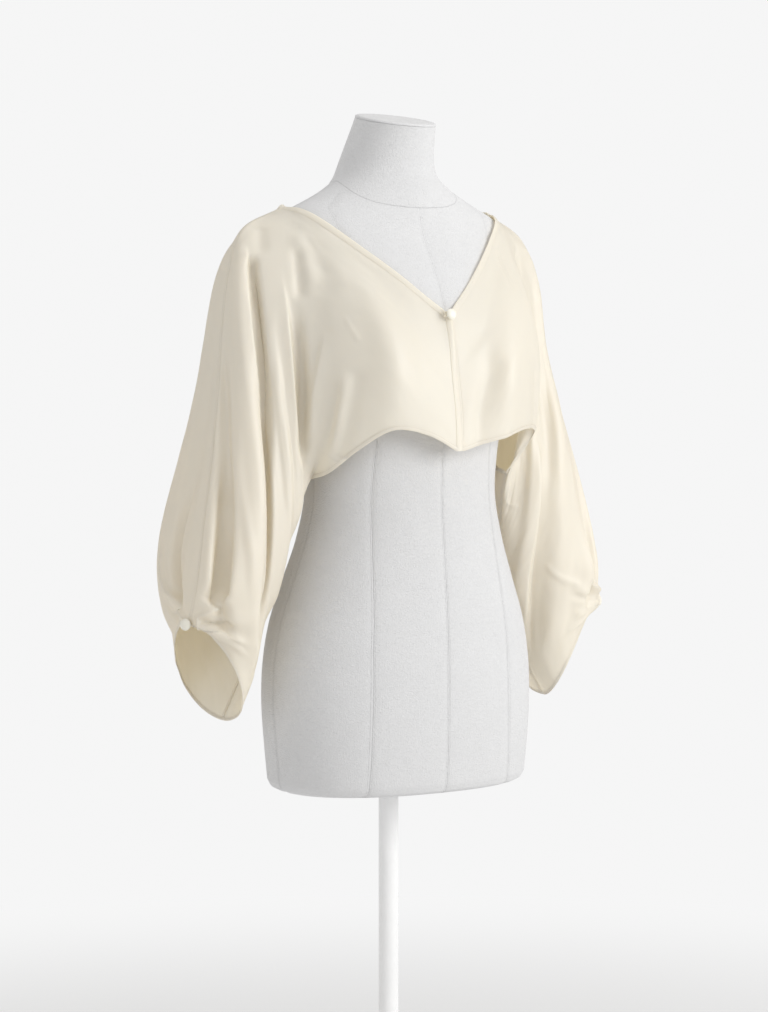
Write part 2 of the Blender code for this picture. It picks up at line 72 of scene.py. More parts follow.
# ---- Sizes and shapes of the jacket, as in the part ----


class SleeveSection(NamedTuple):
    """One section of a sleeve in millimetres, with the swells of its front and back halves."""

    top_x: float
    top_y: float
    top_z: float
    low_x: float
    low_y: float
    low_z: float
    front: float
    back: float
    front_in: float
    front_bias: float
    back_bias: float
    rounding: float


class Fold(NamedTuple):
    """A large fold over "along": its line, heights in millimetres and flank widths in "down"."""

    name: str
    start: tuple[float, float]
    middle: tuple[float, float]
    end: tuple[float, float]
    rise: tuple[float, float]
    outer: float
    inner: float


class Crease(NamedTuple):
    """A crease along a line of (along, down) places. Heights and flank widths are in millimetres.

    rise holds heights at even steps of the line, negative for a trough. For a line drawn outwards, outer is
    the flank towards the overarm seam; for one drawn downwards, it is the flank away from the centre line.
    lean shifts the crest sideways over the inner flank. edge is 2 for a soft crease and less for a sharp one.
    fades are the shares of the line over which it starts and ends.
    """

    name: str
    line: tuple[tuple[float, float], ...]
    rise: tuple[float, ...]
    outer: float
    inner: float
    lean: float = 0.0
    edge: float = 2.0
    fades: tuple[float, float] = (0.2, 0.2)


# Sections of the body in millimetres: the top point, the low point, the swell to the front or back and
# inwards, the swell's bias, and how round the section is.
FRONT_BODY = (
    (5, -137, 1262, 5, -155, 1103, 4, 0, 0, 0.0),
    (48, -112, 1300, 44, -155, 1123, 17, 0, 0, 0.0),
    (90, -77, 1338, 86, -149, 1129, 38, 0, 0, 0.0),
    (120, -50, 1367, 115, -121, 1107, 42, 0, 0, 0.1),
    (140, -25, 1385, 137, -86, 1078, 46, -6, 0, 0.3),
)
BACK_BODY = (
    (0, 86, 1378, 0, 100, 1106, 10, 0, 0, 0.0),
    (48, 82, 1381, 46, 102, 1110, 14, 0, 0, 0.0),
    (92, 66, 1388, 88, 99, 1112, 24, 0, 0, 0.0),
    (122, 44, 1393, 118, 78, 1102, 40, 0, 0, 0.1),
    (142, 22, 1396, 137, 22, 1082, 66, -6, 0, 0.3),
)
LEFT_HEM = ((5, -155, 1103), (42, -156, 1112), (80, -150, 1121), (126, -122, 1128), (158, -90, 1120))
SLEEVE = [SleeveSection(*row) for row in (
    (156, 4, 1396, 143, -52, 1069, 62, 96, 0, -0.15, 0, 0.55),
    (207, 1, 1370, 150, -46, 1050, 42, 86, 0, 0, -0.05, 0.85),
    (227, -1, 1320, 156, -40, 1030, 42, 80, 0, 0, -0.08, 1.0),
    (237, -1, 1246, 160, -32, 1008, 49, 90, 0, 0, -0.08, 1.0),
    (249, -12, 1168, 165, -23, 985, 54, 117, 0, 0, -0.10, 1.0),
    (264, -25, 1092, 172, -14, 955, 58, 147, 0, 0, -0.12, 1.0),
    (281, -37, 1020, 180, -6, 922, 58, 161, 0, 0, -0.13, 1.0),
    (292, -43, 960, 192, -1, 883, 57, 147, 0, 0, -0.13, 1.0),
    (298, -40, 922, 210, -1, 830, 49, 107, 12, 0.15, 0.05, 1.0),
    (299, -30, 899, 237, -3, 778, 45, 74, 24, 0.30, 0.30, 1.0),
)]
LEFT_SLEEVE_FRONT = (59, 28, 24, 36, 47, 45, 40, 39, 38, 38)
LEFT_SEAM_IN = (0, 7, 5, 4, 1, 0, 3, 4, 3, 0)
LEFT_LOW_IN = (0, 7, 11, 12, 12, 10, 8, 6, 3, 0)  # how much nearer the form the left underarm seam hangs
SHOULDER = len(FRONT_BODY)  # the section that runs from the neck corner to the side point
CUFF = SHOULDER + len(SLEEVE) - 1

FOLDS = {
    (Half.FRONT, Side.RIGHT): (
        Fold("ridge_outer", (6.2, 0.07), (9.6, 0.37), (13.2, 0.60), (3, 9), 0.090, 0.035),
        Fold("trough_outer", (6.4, 0.14), (9.6, 0.47), (12.8, 0.72), (-4, -9), 0.045, 0.050),
        Fold("ridge_inner", (5.5, 0.22), (7.6, 0.54), (11.4, 0.82), (5, 5), 0.080, 0.050),
        Fold("armhole", (4.7, 0.25), (5.1, 0.55), (5.2, 0.90), (0, -5), 0.160, 0.160),
        Fold("strip_trough", (8.2, 0.04), (10.8, 0.17), (13.3, 0.27), (-2, -13), 0.070, 0.070),
        Fold("cuff_ridge_high", (12.3, 0.46), (13.1, 0.27), (13.9, 0.06), (5, 6), 0.070, 0.070),
        Fold("cuff_ridge_low", (13.3, 0.46), (13.6, 0.30), (13.95, 0.10), (3, 4), 0.060, 0.060),
    ),
    (Half.FRONT, Side.LEFT): (
        Fold("ridge_outer", (6.0, 0.10), (9.2, 0.40), (13.0, 0.66), (3, 5), 0.100, 0.080),
        Fold("trough_outer", (6.2, 0.20), (9.2, 0.52), (12.8, 0.76), (-3, -2), 0.050, 0.060),
        Fold("ridge_inner", (5.6, 0.24), (7.9, 0.58), (11.6, 0.86), (4, 6), 0.080, 0.050),
        Fold("armhole", (4.8, 0.15), (5.1, 0.42), (5.2, 0.90), (0, -3), 0.140, 0.140),
        Fold("strip_trough", (8.8, 0.05), (11.0, 0.18), (13.3, 0.27), (-2, -11), 0.070, 0.070),
        Fold("cuff_ridge_high", (12.2, 0.44), (13.1, 0.26), (13.9, 0.06), (4, 6), 0.070, 0.070),
        Fold("cuff_ridge_low", (13.3, 0.46), (13.6, 0.30), (13.95, 0.10), (3, 4), 0.060, 0.060),
    ),
    (Half.BACK, Side.RIGHT): (
        Fold("ridge_outer", (6.5, 0.10), (9.8, 0.33), (13.0, 0.46), (3, 8), 0.080, 0.060),
        Fold("trough_outer", (6.8, 0.20), (9.8, 0.46), (12.8, 0.62), (-3, -8), 0.060, 0.070),
        Fold("ridge_inner", (5.7, 0.26), (8.2, 0.60), (11.4, 0.80), (4, 6), 0.080, 0.060),
        Fold("armhole", (4.6, 0.20), (5.0, 0.50), (5.2, 0.90), (-5, -9), 0.150, 0.150),
        Fold("strip_trough", (8.6, 0.04), (11.0, 0.12), (13.4, 0.18), (-2, -12), 0.055, 0.055),
        Fold("blade_drape", (1.4, 0.30), (2.0, 0.60), (2.2, 0.98), (2, 5), 0.200, 0.200),
    ),
    (Half.BACK, Side.LEFT): (
        Fold("ridge_outer", (6.3, 0.08), (9.4, 0.30), (13.0, 0.44), (3, 9), 0.080, 0.060),
        Fold("trough_outer", (6.6, 0.18), (9.4, 0.43), (12.6, 0.60), (-3, -7), 0.060, 0.070),
        Fold("ridge_inner", (5.6, 0.28), (8.0, 0.62), (11.6, 0.82), (5, 5), 0.080, 0.060),
        Fold("armhole", (4.7, 0.22), (5.0, 0.52), (5.2, 0.90), (-5, -8), 0.150, 0.150),
        Fold("strip_trough", (8.8, 0.04), (11.2, 0.12), (13.4, 0.18), (-2, -12), 0.055, 0.055),
        Fold("blade_drape", (1.6, 0.28), (2.3, 0.60), (2.6, 0.98), (2, 6), 0.200, 0.200),
    ),
}
FOLD_FADE = 0.9  # sections over which a fold starts and ends
EDGE_FADE = 0.07  # part of "down" over which folds die away at a seam
HEM_FADE = 0.5  # sections over which they come back along the hem
SEAM_BLEND = 0.1  # part of "down" over which a panel's smooth middle turns into its seams
FRONT_LAP = 1.5 * MM
LAP_SECTIONS = 1.5  # sections over which the fronts' lap and sway fade out

# Creases that only the finished cloth has.
CREASES = {
    (Half.FRONT, Side.RIGHT): (
        # The long sharp fold down the sleeve, and the shaded valley that it leans over.
        Crease("sleeve_fold", ((6.25, 0.09), (6.8, 0.18), (7.4, 0.255), (8.3, 0.328), (9.4, 0.385), (10.4, 0.465),
                               (11.6, 0.59), (12.6, 0.69)), (4, 6, 7, 7, 6, 5, 3), 15, 3.5, 4.0, 1.5, (0.06, 0.2)),
        Crease("sleeve_valley", ((6.25, 0.145), (6.75, 0.245), (7.4, 0.33), (8.3, 0.40), (9.4, 0.455), (10.4, 0.535),
                                 (11.6, 0.65), (12.4, 0.73)), (-7, -14, -16, -15, -14, -11, -4), 8, 8.5, 0, 3.2,
               (0.05, 0.3)),
        Crease("outer_trough", ((8.0, 0.02), (8.6, 0.05), (9.2, 0.085), (10.2, 0.14), (10.8, 0.16)),
               (-1, -3, -5, -5, -4), 7, 8, 0, 1.8, (0.3, 0.2)),
        Crease("side_fold", ((5.6, 0.24), (5.9, 0.385), (6.2, 0.512), (6.65, 0.62), (7.1, 0.71), (7.7, 0.79),
                             (8.6, 0.84), (9.8, 0.82)), (2, 5, 6, 6, 6, 4, 2), 13, 4, 4.0, 1.5, (0.15, 0.3)),
        Crease("side_valley", ((5.45, 0.32), (5.65, 0.44), (5.85, 0.56), (6.1, 0.64), (6.4, 0.69), (6.75, 0.77)),
               (-2, -8, -13, -13, -10, -4), 7, 9, 0, 2.6, (0.25, 0.2)),
        # Soft shades below the shoulder.
        Crease("shoulder_dent", ((5.6, 0.05), (5.8, 0.11), (6.0, 0.19)), (-2.5, -2), 7, 9),
        Crease("chest_dent", ((4.85, 0.18), (5.1, 0.284), (5.3, 0.37)), (-4, -4), 6, 9),
        Crease("chest_light", ((4.5, 0.10), (4.55, 0.22), (4.65, 0.34)), (2.5, 3.5, 2), 11, 10),
        Crease("chest_shade", ((4.25, 0.06), (3.95, 0.22), (3.7, 0.36)), (-2, -2.5, -1.5), 14, 14),
        # Drag lines from the bust down to the side.
        Crease("side_drape", ((4.3, 0.46), (4.95, 0.565), (5.55, 0.66), (6.0, 0.74)), (2, 4, 4, 2), 5, 12),
        Crease("bust_drag", ((3.2, 0.60), (3.47, 0.769), (3.8, 0.96)), (-2.5, -4.5, -4), 10, 12, 0, 2.0, (0.2, 0.05)),
        Crease("bust_light", ((3.5, 0.60), (3.85, 0.75), (4.2, 0.92)), (2, 3.5, 2), 8, 9),
        Crease("side_drag", ((3.9, 0.62), (4.2, 0.734), (4.55, 0.87)), (-2, -3.5, -2.5), 7, 8),
        Crease("bust_line", ((3.42, 0.40), (3.25, 0.46), (3.08, 0.515)), (0.7, 0.9), 2.4, 2.4, 0, 1.6),
        # The gathers that the cuff button holds.
        Crease("cuff_hollow", ((9.6, 0.085), (10.2, 0.135), (10.8, 0.185), (11.4, 0.215), (11.9, 0.215), (12.4, 0.19),
                               (12.8, 0.155)), (-3, -8, -14, -18, -19, -16, -10), 12, 11, 0, 3.0, (0.25, 0.06)),
        Crease("cuff_ridge", ((12.1, 0.33), (12.35, 0.285), (12.84, 0.193), (13.19, 0.128), (13.6, 0.06)),
               (3, 5, 6, 6, 3), 3.5, 6, 0, 1.8, (0.25, 0.05)),
        Crease("cuff_crease", ((12.7, 0.40), (12.95, 0.345), (13.2, 0.265), (13.36, 0.18), (13.5, 0.10)),
               (-1, -4, -7, -8, -5), 4.5, 5, 0, 1.8, (0.3, 0.05)),
        Crease("cuff_pleat", ((12.9, 0.56), (13.1, 0.44), (13.45, 0.315), (13.6, 0.20), (13.75, 0.09)),
               (1, 4, 6, 6, 4), 5, 6, 0, 1.8, (0.3, 0.05)),
        Crease("cuff_under", ((13.8, 0.26), (13.88, 0.19), (13.93, 0.11)), (-1.5, -3, -3), 3, 3),
        Crease("sleeve_light", ((9.0, 0.20), (9.99, 0.267), (10.5, 0.345), (11.1, 0.418), (11.9, 0.47)),
               (1, 2, 2.5, 1.5), 7, 6),
    ),
    (Half.FRONT, Side.LEFT): (
        Crease("armhole_fold", ((5.6, 0.12), (5.3, 0.22), (4.95, 0.34), (4.65, 0.46), (4.6, 0.58)),
               (-2, -6, -9, -7, -3), 5, 8, 0, 1.7, (0.2, 0.3)),
        Crease("chest_line", ((2.82, 0.03), (2.71, 0.134), (2.8, 0.289)), (-0.8, -1.2, -0.8), 3, 3, 0, 1.7),
        Crease("front_shade", ((1.35, 0.40), (1.1, 0.55), (0.75, 0.757), (0.69, 1.0)), (-1, -3.5, -5, -4), 14, 12, 0,
               2.0, (0.3, 0.0)),
        Crease("front_light", ((1.9, 0.45), (1.75, 0.7), (1.7, 1.0)), (1, 3, 3), 16, 14, 0, 2.0, (0.3, 0.0)),
        Crease("sleeve_valley", ((6.9, 0.22), (7.88, 0.315), (8.6, 0.419), (9.62, 0.538)), (-3, -5, -5, -3), 10, 9),
        Crease("sleeve_light", ((8.0, 0.50), (8.71, 0.60), (10.13, 0.722), (11.52, 0.797), (12.4, 0.86)),
               (2, 5, 5, 4, 3), 5, 10, -2.0, 1.5, (0.2, 0.2)),
        Crease("sleeve_groove", ((8.1, 0.45), (8.9, 0.562), (10.22, 0.66), (11.6, 0.762), (12.6, 0.84), (13.3, 0.90)),
               (-2, -5, -6, -5, -3), 7, 4.5, 0, 1.7, (0.2, 0.2)),
        Crease("elbow_line", ((6.67, 0.94), (7.6, 0.86), (8.5, 0.75)), (1.0, 1.4), 3, 3, 0, 1.6),
        Crease("wrist_line", ((10.9, 0.64), (11.59, 0.555), (12.2, 0.408)), (1.2, 2.0, 1.5), 4, 4, 0, 1.6),
        Crease("outer_shade", ((7.6, 0.12), (9.2, 0.18), (10.8, 0.24), (12.2, 0.26)), (-1.5, -4, -5, -3), 12, 12),
        Crease("cuff_fold", ((10.6, 0.24), (11.4, 0.29), (12.0, 0.31), (12.4, 0.29), (12.9, 0.17), (13.5, 0.07),
                             (13.8, 0.03)), (0, 3, 5, 6, 7, 5, 3), 3.5, 9, -2.0, 1.5, (0.2, 0.05)),
        Crease("cuff_crease", ((12.0, 0.55), (12.7, 0.36), (13.3, 0.16), (13.7, 0.06)), (-2, -4, -4, -3), 5, 5),
        Crease("cuff_pleat", ((12.8, 0.50), (13.3, 0.33), (13.85, 0.13), (13.95, 0.05)), (2, 4, 4, 2), 6, 6),
        Crease("bust_drag", ((3.1, 0.62), (3.3, 0.78), (3.5, 0.98)), (-2, -3.5, -3), 11, 11, 0, 2.0, (0.3, 0.0)),
    ),
    (Half.BACK, Side.RIGHT): (
        # The valley beside the overarm seam, and the puffed fold outside it.
        Crease("cuff_hollow", ((9.9, 0.06), (10.6, 0.12), (11.3, 0.16), (11.9, 0.17), (12.5, 0.16), (13.1, 0.115)),
               (-2, -8, -14, -17, -15, -8), 9, 10, 0, 3.0, (0.3, 0.08)),
        Crease("puff", ((10.8, 0.30), (11.7, 0.26), (12.6, 0.215), (13.3, 0.12), (13.8, 0.04)), (2, 6, 8, 7, 4), 3.5,
               12, -2.0, 1.5, (0.3, 0.05)),
        Crease("puff_crease", ((12.2, 0.40), (12.8, 0.29), (13.4, 0.17), (13.8, 0.07)), (-1, -3, -4, -3), 5, 5),
        Crease("sleeve_fold", ((6.2, 0.14), (7.2, 0.27), (8.6, 0.38), (10.2, 0.50), (11.6, 0.58)), (3, 5, 6, 4), 14, 4,
               3.0, 1.5, (0.15, 0.3)),
        Crease("sleeve_valley", ((6.3, 0.19), (7.2, 0.32), (8.6, 0.43), (10.2, 0.55)), (-4, -7, -6, -3), 4, 10, 0, 1.7),
        Crease("side_fold", ((5.5, 0.28), (6.0, 0.46), (6.7, 0.62), (7.8, 0.75), (9.2, 0.80)), (2, 5, 5, 3), 12, 5,
               3.0, 1.5),
        Crease("side_valley", ((5.2, 0.34), (5.6, 0.52), (6.1, 0.67), (6.8, 0.79)), (-3, -7, -7, -3), 5, 11, 0, 1.8),
        Crease("blade_drag", ((3.3, 0.42), (3.0, 0.66), (2.9, 1.0)), (-1, -4, -4), 14, 14, 0, 2.0, (0.3, 0.0)),
        Crease("blade_light", ((3.9, 0.40), (3.7, 0.68), (3.6, 1.0)), (1, 3, 3), 11, 11, 0, 2.0, (0.3, 0.0)),
        Crease("centre_shade", ((0.5, 0.55), (0.6, 0.8), (0.7, 1.0)), (-1, -2.5, -3), 16, 14, 0, 2.0, (0.4, 0.0)),
        Crease("elbow_line", ((8.8, 0.84), (9.4, 0.72), (9.6, 0.62)), (0.8, 1.3), 3.5, 3.5, 0, 1.6),
    ),
    (Half.BACK, Side.LEFT): (
        Crease("cuff_hollow", ((9.8, 0.04), (10.6, 0.10), (11.5, 0.13), (12.2, 0.135), (12.9, 0.11), (13.5, 0.06)),
               (-2, -6, -9, -8, -5), 9, 10, 0, 2.0, (0.3, 0.1)),
        Crease("puff", ((11.0, 0.32), (11.9, 0.27), (12.7, 0.22), (13.4, 0.13), (13.8, 0.05)), (2, 5, 6, 4, 3), 5, 12,
               0, 1.6, (0.3, 0.05)),
        Crease("puff_crease", ((12.0, 0.43), (12.7, 0.31), (13.3, 0.19), (13.8, 0.08)), (-1, -3, -4, -3), 5, 5),
        Crease("sleeve_fold", ((6.0, 0.12), (7.0, 0.24), (8.4, 0.34), (10.0, 0.45), (11.5, 0.55)), (3, 5, 6, 4), 14, 4,
               3.0, 1.5, (0.15, 0.3)),
        Crease("sleeve_valley", ((6.1, 0.17), (7.0, 0.29), (8.4, 0.39), (10.0, 0.50)), (-4, -6, -6, -3), 4, 10, 0, 1.7),
        Crease("side_fold", ((5.4, 0.30), (5.9, 0.48), (6.7, 0.66), (7.9, 0.78), (9.4, 0.82)), (2, 5, 5, 3), 12, 5,
               3.0, 1.5),
        Crease("side_valley", ((5.1, 0.36), (5.5, 0.55), (6.1, 0.71), (6.9, 0.82)), (-3, -6, -7, -3), 5, 11, 0, 1.8),
        Crease("blade_drag", ((3.6, 0.40), (3.3, 0.66), (3.1, 1.0)), (-1, -4, -5), 14, 14, 0, 2.0, (0.3, 0.0)),
        Crease("blade_light", ((2.6, 0.50), (2.5, 0.75), (2.4, 1.0)), (1, 2, 3), 12, 12, 0, 2.0, (0.3, 0.0)),
        Crease("centre_shade", ((0.8, 0.60), (1.0, 0.8), (1.1, 1.0)), (-1, -2, -3), 15, 15, 0, 2.0, (0.4, 0.0)),
        Crease("elbow_line", ((8.4, 0.88), (8.9, 0.77), (9.4, 0.68)), (0.8, 1.2), 3.5, 3.5, 0, 1.6),
    ),
}


class Ripple(NamedTuple):
    """A faint wave of the cloth: wave lengths along and across in millimetres, phase and height."""

    along: float
    across: float
    phase: float
    height: float


RIPPLES = [Ripple(*row) for row in (
    (170, 41, 0.3, 0.42), (-120, 33, 1.9, 0.34), (83, -27, 4.1, 0.22),
    (-61, 17, 2.2, 0.11), (47, 23, 5.3, 0.12), (29, -31, 0.9, 0.07),
)]

# ---- Sizes of the dress form and its stand, as in the part ----


class Ring(NamedTuple):
    """A level ring of the dress form in millimetres. power is its squareness: 2 is an ellipse."""

    z: float
    half_width: float
    front: float
    back: float
    power: float


TORSO_RINGS = [Ring(*row) for row in (
    (686, 160, -124, 84, 2.3), (689, 166, -130, 90, 2.3), (697, 170, -134, 94, 2.3), (740, 174, -137, 97, 2.3),
    (790, 178, -138, 99, 2.25), (840, 177, -138, 99, 2.2), (890, 168, -136, 96, 2.2),
    (940, 152, -132, 88, 2.15), (990, 136, -127, 76, 2.1), (1045, 125, -122, 68, 2.1),
    (1100, 128, -124, 70, 2.1), (1150, 136, -130, 78, 2.15), (1195, 143, -136, 86, 2.2),
    (1235, 149, -136, 92, 2.2), (1270, 155, -128, 96, 2.2), (1305, 163, -114, 97, 2.2),
    (1335, 171, -97, 94, 2.15), (1358, 175, -83, 87, 2.05), (1376, 170, -75, 78, 1.9),
    (1390, 154, -72, 70, 1.75), (1402, 130, -70, 66, 1.65), (1414, 106, -67, 65, 1.65),
    (1426, 84, -61, 66, 1.8), (1438, 69, -54, 67, 1.95), (1452, 62, -52, 64, 2.0), (1470, 57, -55, 56, 2.0),
    (1490, 53, -60, 44, 2.0), (1507, 50, -66, 34, 2.0),
)]


# ---- Arithmetic on whole arrays ----


def smooth_step(value: np.ndarray) -> np.ndarray:
    """0 below 0, 1 above 1, and between them three times the square less twice the cube."""
    value = np.clip(value, 0, 1)
    return value * value * (3 - 2 * value)


def unit(vectors: np.ndarray) -> np.ndarray:
    """The vectors at length 1."""
    return vectors / np.maximum(np.linalg.norm(vectors, axis=-1, keepdims=True), 1e-12)


def through(rows: Sequence, at: np.ndarray) -> np.ndarray:
    """Values between a table's rows, on the cubic through each row with the slope of its two neighbours.

    Args:
        rows: The table, one row for each whole number.
        at: Places in it, such as 2.5 for halfway from the third row to the fourth.

    Returns:
        One row of values for each place.
    """
    rows = np.asarray(rows, float)
    at = np.asarray(at, float)
    last = len(rows) - 1
    low = np.clip(np.floor(at).astype(int), 0, last - 1)
    t = (at - low)[..., None]
    here, there = rows[low], rows[low + 1]
    before = np.where((low > 0)[..., None], rows[np.maximum(low - 1, 0)], 2 * here - there)
    beyond = np.where((low + 2 <= last)[..., None], rows[np.minimum(low + 2, last)], 2 * there - here)
    cubic = 3 * (here - there) + beyond - before
    square = 2 * before - 5 * here + 4 * there - beyond
    return here + 0.5 * t * (there - before + t * (square + t * cubic))


def run_along(path: np.ndarray) -> np.ndarray:
    """The distance run at each point of a path."""
    return np.concatenate([[0], np.cumsum(np.linalg.norm(np.diff(path, axis=0), axis=-1))])


def between(at: float | np.ndarray, run: np.ndarray, values: np.ndarray) -> np.ndarray:
    """Vectors at places on a run, straight between those of its points."""
    return np.stack([np.interp(at, run, values[:, k]) for k in range(3)], axis=-1)


def circle(count: int) -> np.ndarray:
    """Angles of even steps round a circle."""
    return np.arange(count) * 2 * math.pi / count


def normals_of(points: np.ndarray) -> np.ndarray:
    """Unit normals of a grid of points: the cross product of its two directions."""
    return unit(np.cross(np.gradient(points, axis=0), np.gradient(points, axis=1)))


def moving_mean(values: np.ndarray, reach: int, axis: int = 0, mode: str = "edge") -> np.ndarray:
    """Each value's mean with its neighbours up to reach steps away, on one axis.

    Args:
        values: The values.
        reach: Steps to each side.
        axis: The axis.
        mode: What lies beyond the ends: "edge" for more of the same, "wrap" for a ring.

    Returns:
        The means, in the shape of the values.
    """
    padding = [(reach, reach) if k == axis else (0, 0) for k in range(values.ndim)]
    total = np.cumsum(np.pad(values, padding, mode=mode), axis=axis)
    total = np.concatenate([np.take(total, [0], axis=axis) * 0, total], axis=axis)
    first = np.arange(values.shape[axis])
    window = 2 * reach + 1
    return (np.take(total, first + window, axis=axis) - np.take(total, first, axis=axis)) / window


def spread_along(values: np.ndarray, reach: int, closed: bool) -> np.ndarray:
    """A path's vectors, each the mean of its neighbours up to reach steps away, at length 1."""
    return unit(moving_mean(values, reach, mode="wrap" if closed else "edge"))


# ---- Meshes ----


def grid_faces(rows: int, columns: int, ring_rows: bool = False, ring_columns: bool = False) -> np.ndarray:
    """Quads of a grid of points, closed round its rows or columns where asked.

    Args:
        rows: Points in the first direction.
        columns: Points in the second direction.
        ring_rows: Joins the last row to the first.
        ring_columns: Joins the last column to the first.

    Returns:
        Point numbers, four for each face.
    """
    index = np.arange(rows * columns).reshape(rows, columns)
    if ring_rows:
        index = np.concatenate([index, index[:1]])
    if ring_columns:
        index = np.concatenate([index, index[:, :1]], axis=1)
    return np.stack([index[:-1, :-1], index[1:, :-1], index[1:, 1:], index[:-1, 1:]], axis=-1).reshape(-1, 4)


def tube_faces(rows: int, sides: int) -> list[list[int]]:
    """Faces of a grid that is closed round its columns, with its first and last rows filled."""
    last = (rows - 1) * sides
    ends = [list(range(sides)), list(range(last, last + sides))[::-1]]
    return grid_faces(rows, sides, ring_columns=True).tolist() + ends


def fan(first: int, sides: int, middle: int, turned: bool = False) -> list[list[int]]:
    """Triangles from a ring of points, which starts at a number, to a middle point."""
    pairs = ((first + k, first + (k + 1) % sides) for k in range(sides))
    return [[b, a, middle] if turned else [a, b, middle] for a, b in pairs]


def add_mesh(name: str, points: np.ndarray, faces: list, uv: np.ndarray | None = None,
             corner_uv: np.ndarray | None = None) -> bpy.types.Object:
    """Makes a smooth-shaded mesh object at the origin.

    Args:
        name: The piece's name.
        points: Its points in metres.
        faces: Its faces as lists of point numbers.
        uv: A place in the pattern for each point.
        corner_uv: A place in the pattern for each face corner, where a point has more than one.

    Returns:
        The object.
    """
    mesh = bpy.data.meshes.new(name)
    mesh.from_pydata(points.reshape(-1, 3).tolist(), [], [list(face) for face in faces])
    mesh.polygons.foreach_set("use_smooth", [True] * len(mesh.polygons))
    if uv is not None:
        corners = np.zeros(len(mesh.loops), dtype=np.int32)
        mesh.loops.foreach_get("vertex_index", corners)
        corner_uv = uv.reshape(-1, 2)[corners]
    if corner_uv is not None:
        mesh.uv_layers.new(name="UVMap").data.foreach_set("uv", corner_uv.astype(np.float32).ravel())
    thing = bpy.data.objects.new(name, mesh)
    bpy.context.scene.collection.objects.link(thing)
    return thing


def turn_outwards(mesh: bpy.types.Mesh) -> None:
    """Turns a closed mesh's faces outwards if its volume comes out negative."""
    mesh.calc_loop_triangles()
    points = np.zeros(len(mesh.vertices) * 3)
    mesh.vertices.foreach_get("co", points)
    corners = np.zeros(len(mesh.loop_triangles) * 3, dtype=np.int32)
    mesh.loop_triangles.foreach_get("vertices", corners)
    a, b, c = np.moveaxis(points.reshape(-1, 3)[corners.reshape(-1, 3)], 1, 0)
    if np.sum(a * np.cross(b, c)) < 0:
        mesh.flip_normals()


def give_wall(thing: bpy.types.Object, thickness: float) -> None:
    """Makes a sheet as thick as its cloth, half to each side."""
    wall = thing.modifiers.new("wall", "SOLIDIFY")
    wall.thickness, wall.offset = thickness, 0.0


def finish_piece(thing: bpy.types.Object, material: bpy.types.Material, replaced: Sequence[str] = (),
                 crisp: float = 0.0) -> bpy.types.Object:
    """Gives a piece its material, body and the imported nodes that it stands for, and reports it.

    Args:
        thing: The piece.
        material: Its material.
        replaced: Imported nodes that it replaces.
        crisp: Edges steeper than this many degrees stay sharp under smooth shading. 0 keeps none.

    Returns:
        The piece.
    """
    if crisp:
        thing.data.set_sharp_from_angle(angle=math.radians(crisp))
    thing.data.materials.append(material)
    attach(thing, BODY)
    if replaced:
        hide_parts(*replaced)
    log.info("%s: %d faces", thing.name, len(thing.data.polygons))
    return thing


def band_along(name: str, path: np.ndarray, facing: np.ndarray, beyond: np.ndarray, profile: np.ndarray,
               closed: bool) -> bpy.types.Object:
    """A closed band that follows an edge of the cloth.

    Each of its points is the path's point plus the profile's first number times the direction beyond the
    edge, plus its second number times the cloth's outward direction.

    Args:
        name: The piece's name.
        path: Points of the edge.
        facing: The cloth's outward direction at each.
        beyond: The direction in the cloth's surface that leaves it at each.
        profile: The band's closed section.
        closed: Whether the path is a ring.

    Returns:
        The band.
    """
    points = path[:, None] + beyond[:, None] * profile[None, :, 0:1] + facing[:, None] * profile[None, :, 1:2]
    rows, columns = points.shape[:2]
    faces = grid_faces(rows, columns, True, True).tolist() if closed else tube_faces(rows, columns)
    uv = np.stack(np.meshgrid(run_along(path), run_along(profile), indexing="ij"), axis=-1)
    band = add_mesh(name, points, faces, uv)
    turn_outwards(band.data)
    return band


def tube_along(name: str, path: np.ndarray, radius: float, sides: int, twist: float) -> bpy.types.Object:
    """A closed round cord along a path, with a faint spiral seam.

    Each ring turns a circle of the radius about the path, in the plane across it.

    Args:
        name: The piece's name.
        path: Points of its middle.
        radius: Its radius.
        sides: Points round it.
        twist: Height of the spiral seam as a share of the radius.

    Returns:
        The cord.
    """
    ahead = unit(np.gradient(path, axis=0))
    reference = unit(np.cross(ahead[0], ahead[len(ahead) // 2] + 0.01))
    side_way = unit(reference - ahead * np.sum(reference * ahead, axis=-1, keepdims=True))
    up_way = np.cross(ahead, side_way)
    angle = circle(sides)
    reach = radius * (1 + twist * np.cos(angle + np.arange(len(path))[:, None] * 0.5))[..., None]
    cosine, sine = np.cos(angle)[:, None], np.sin(angle)[:, None]
    points = path[:, None] + (side_way[:, None] * cosine + up_way[:, None] * sine) * reach
    cord = add_mesh(name, points, tube_faces(len(path), sides))
    turn_outwards(cord.data)
    return cord


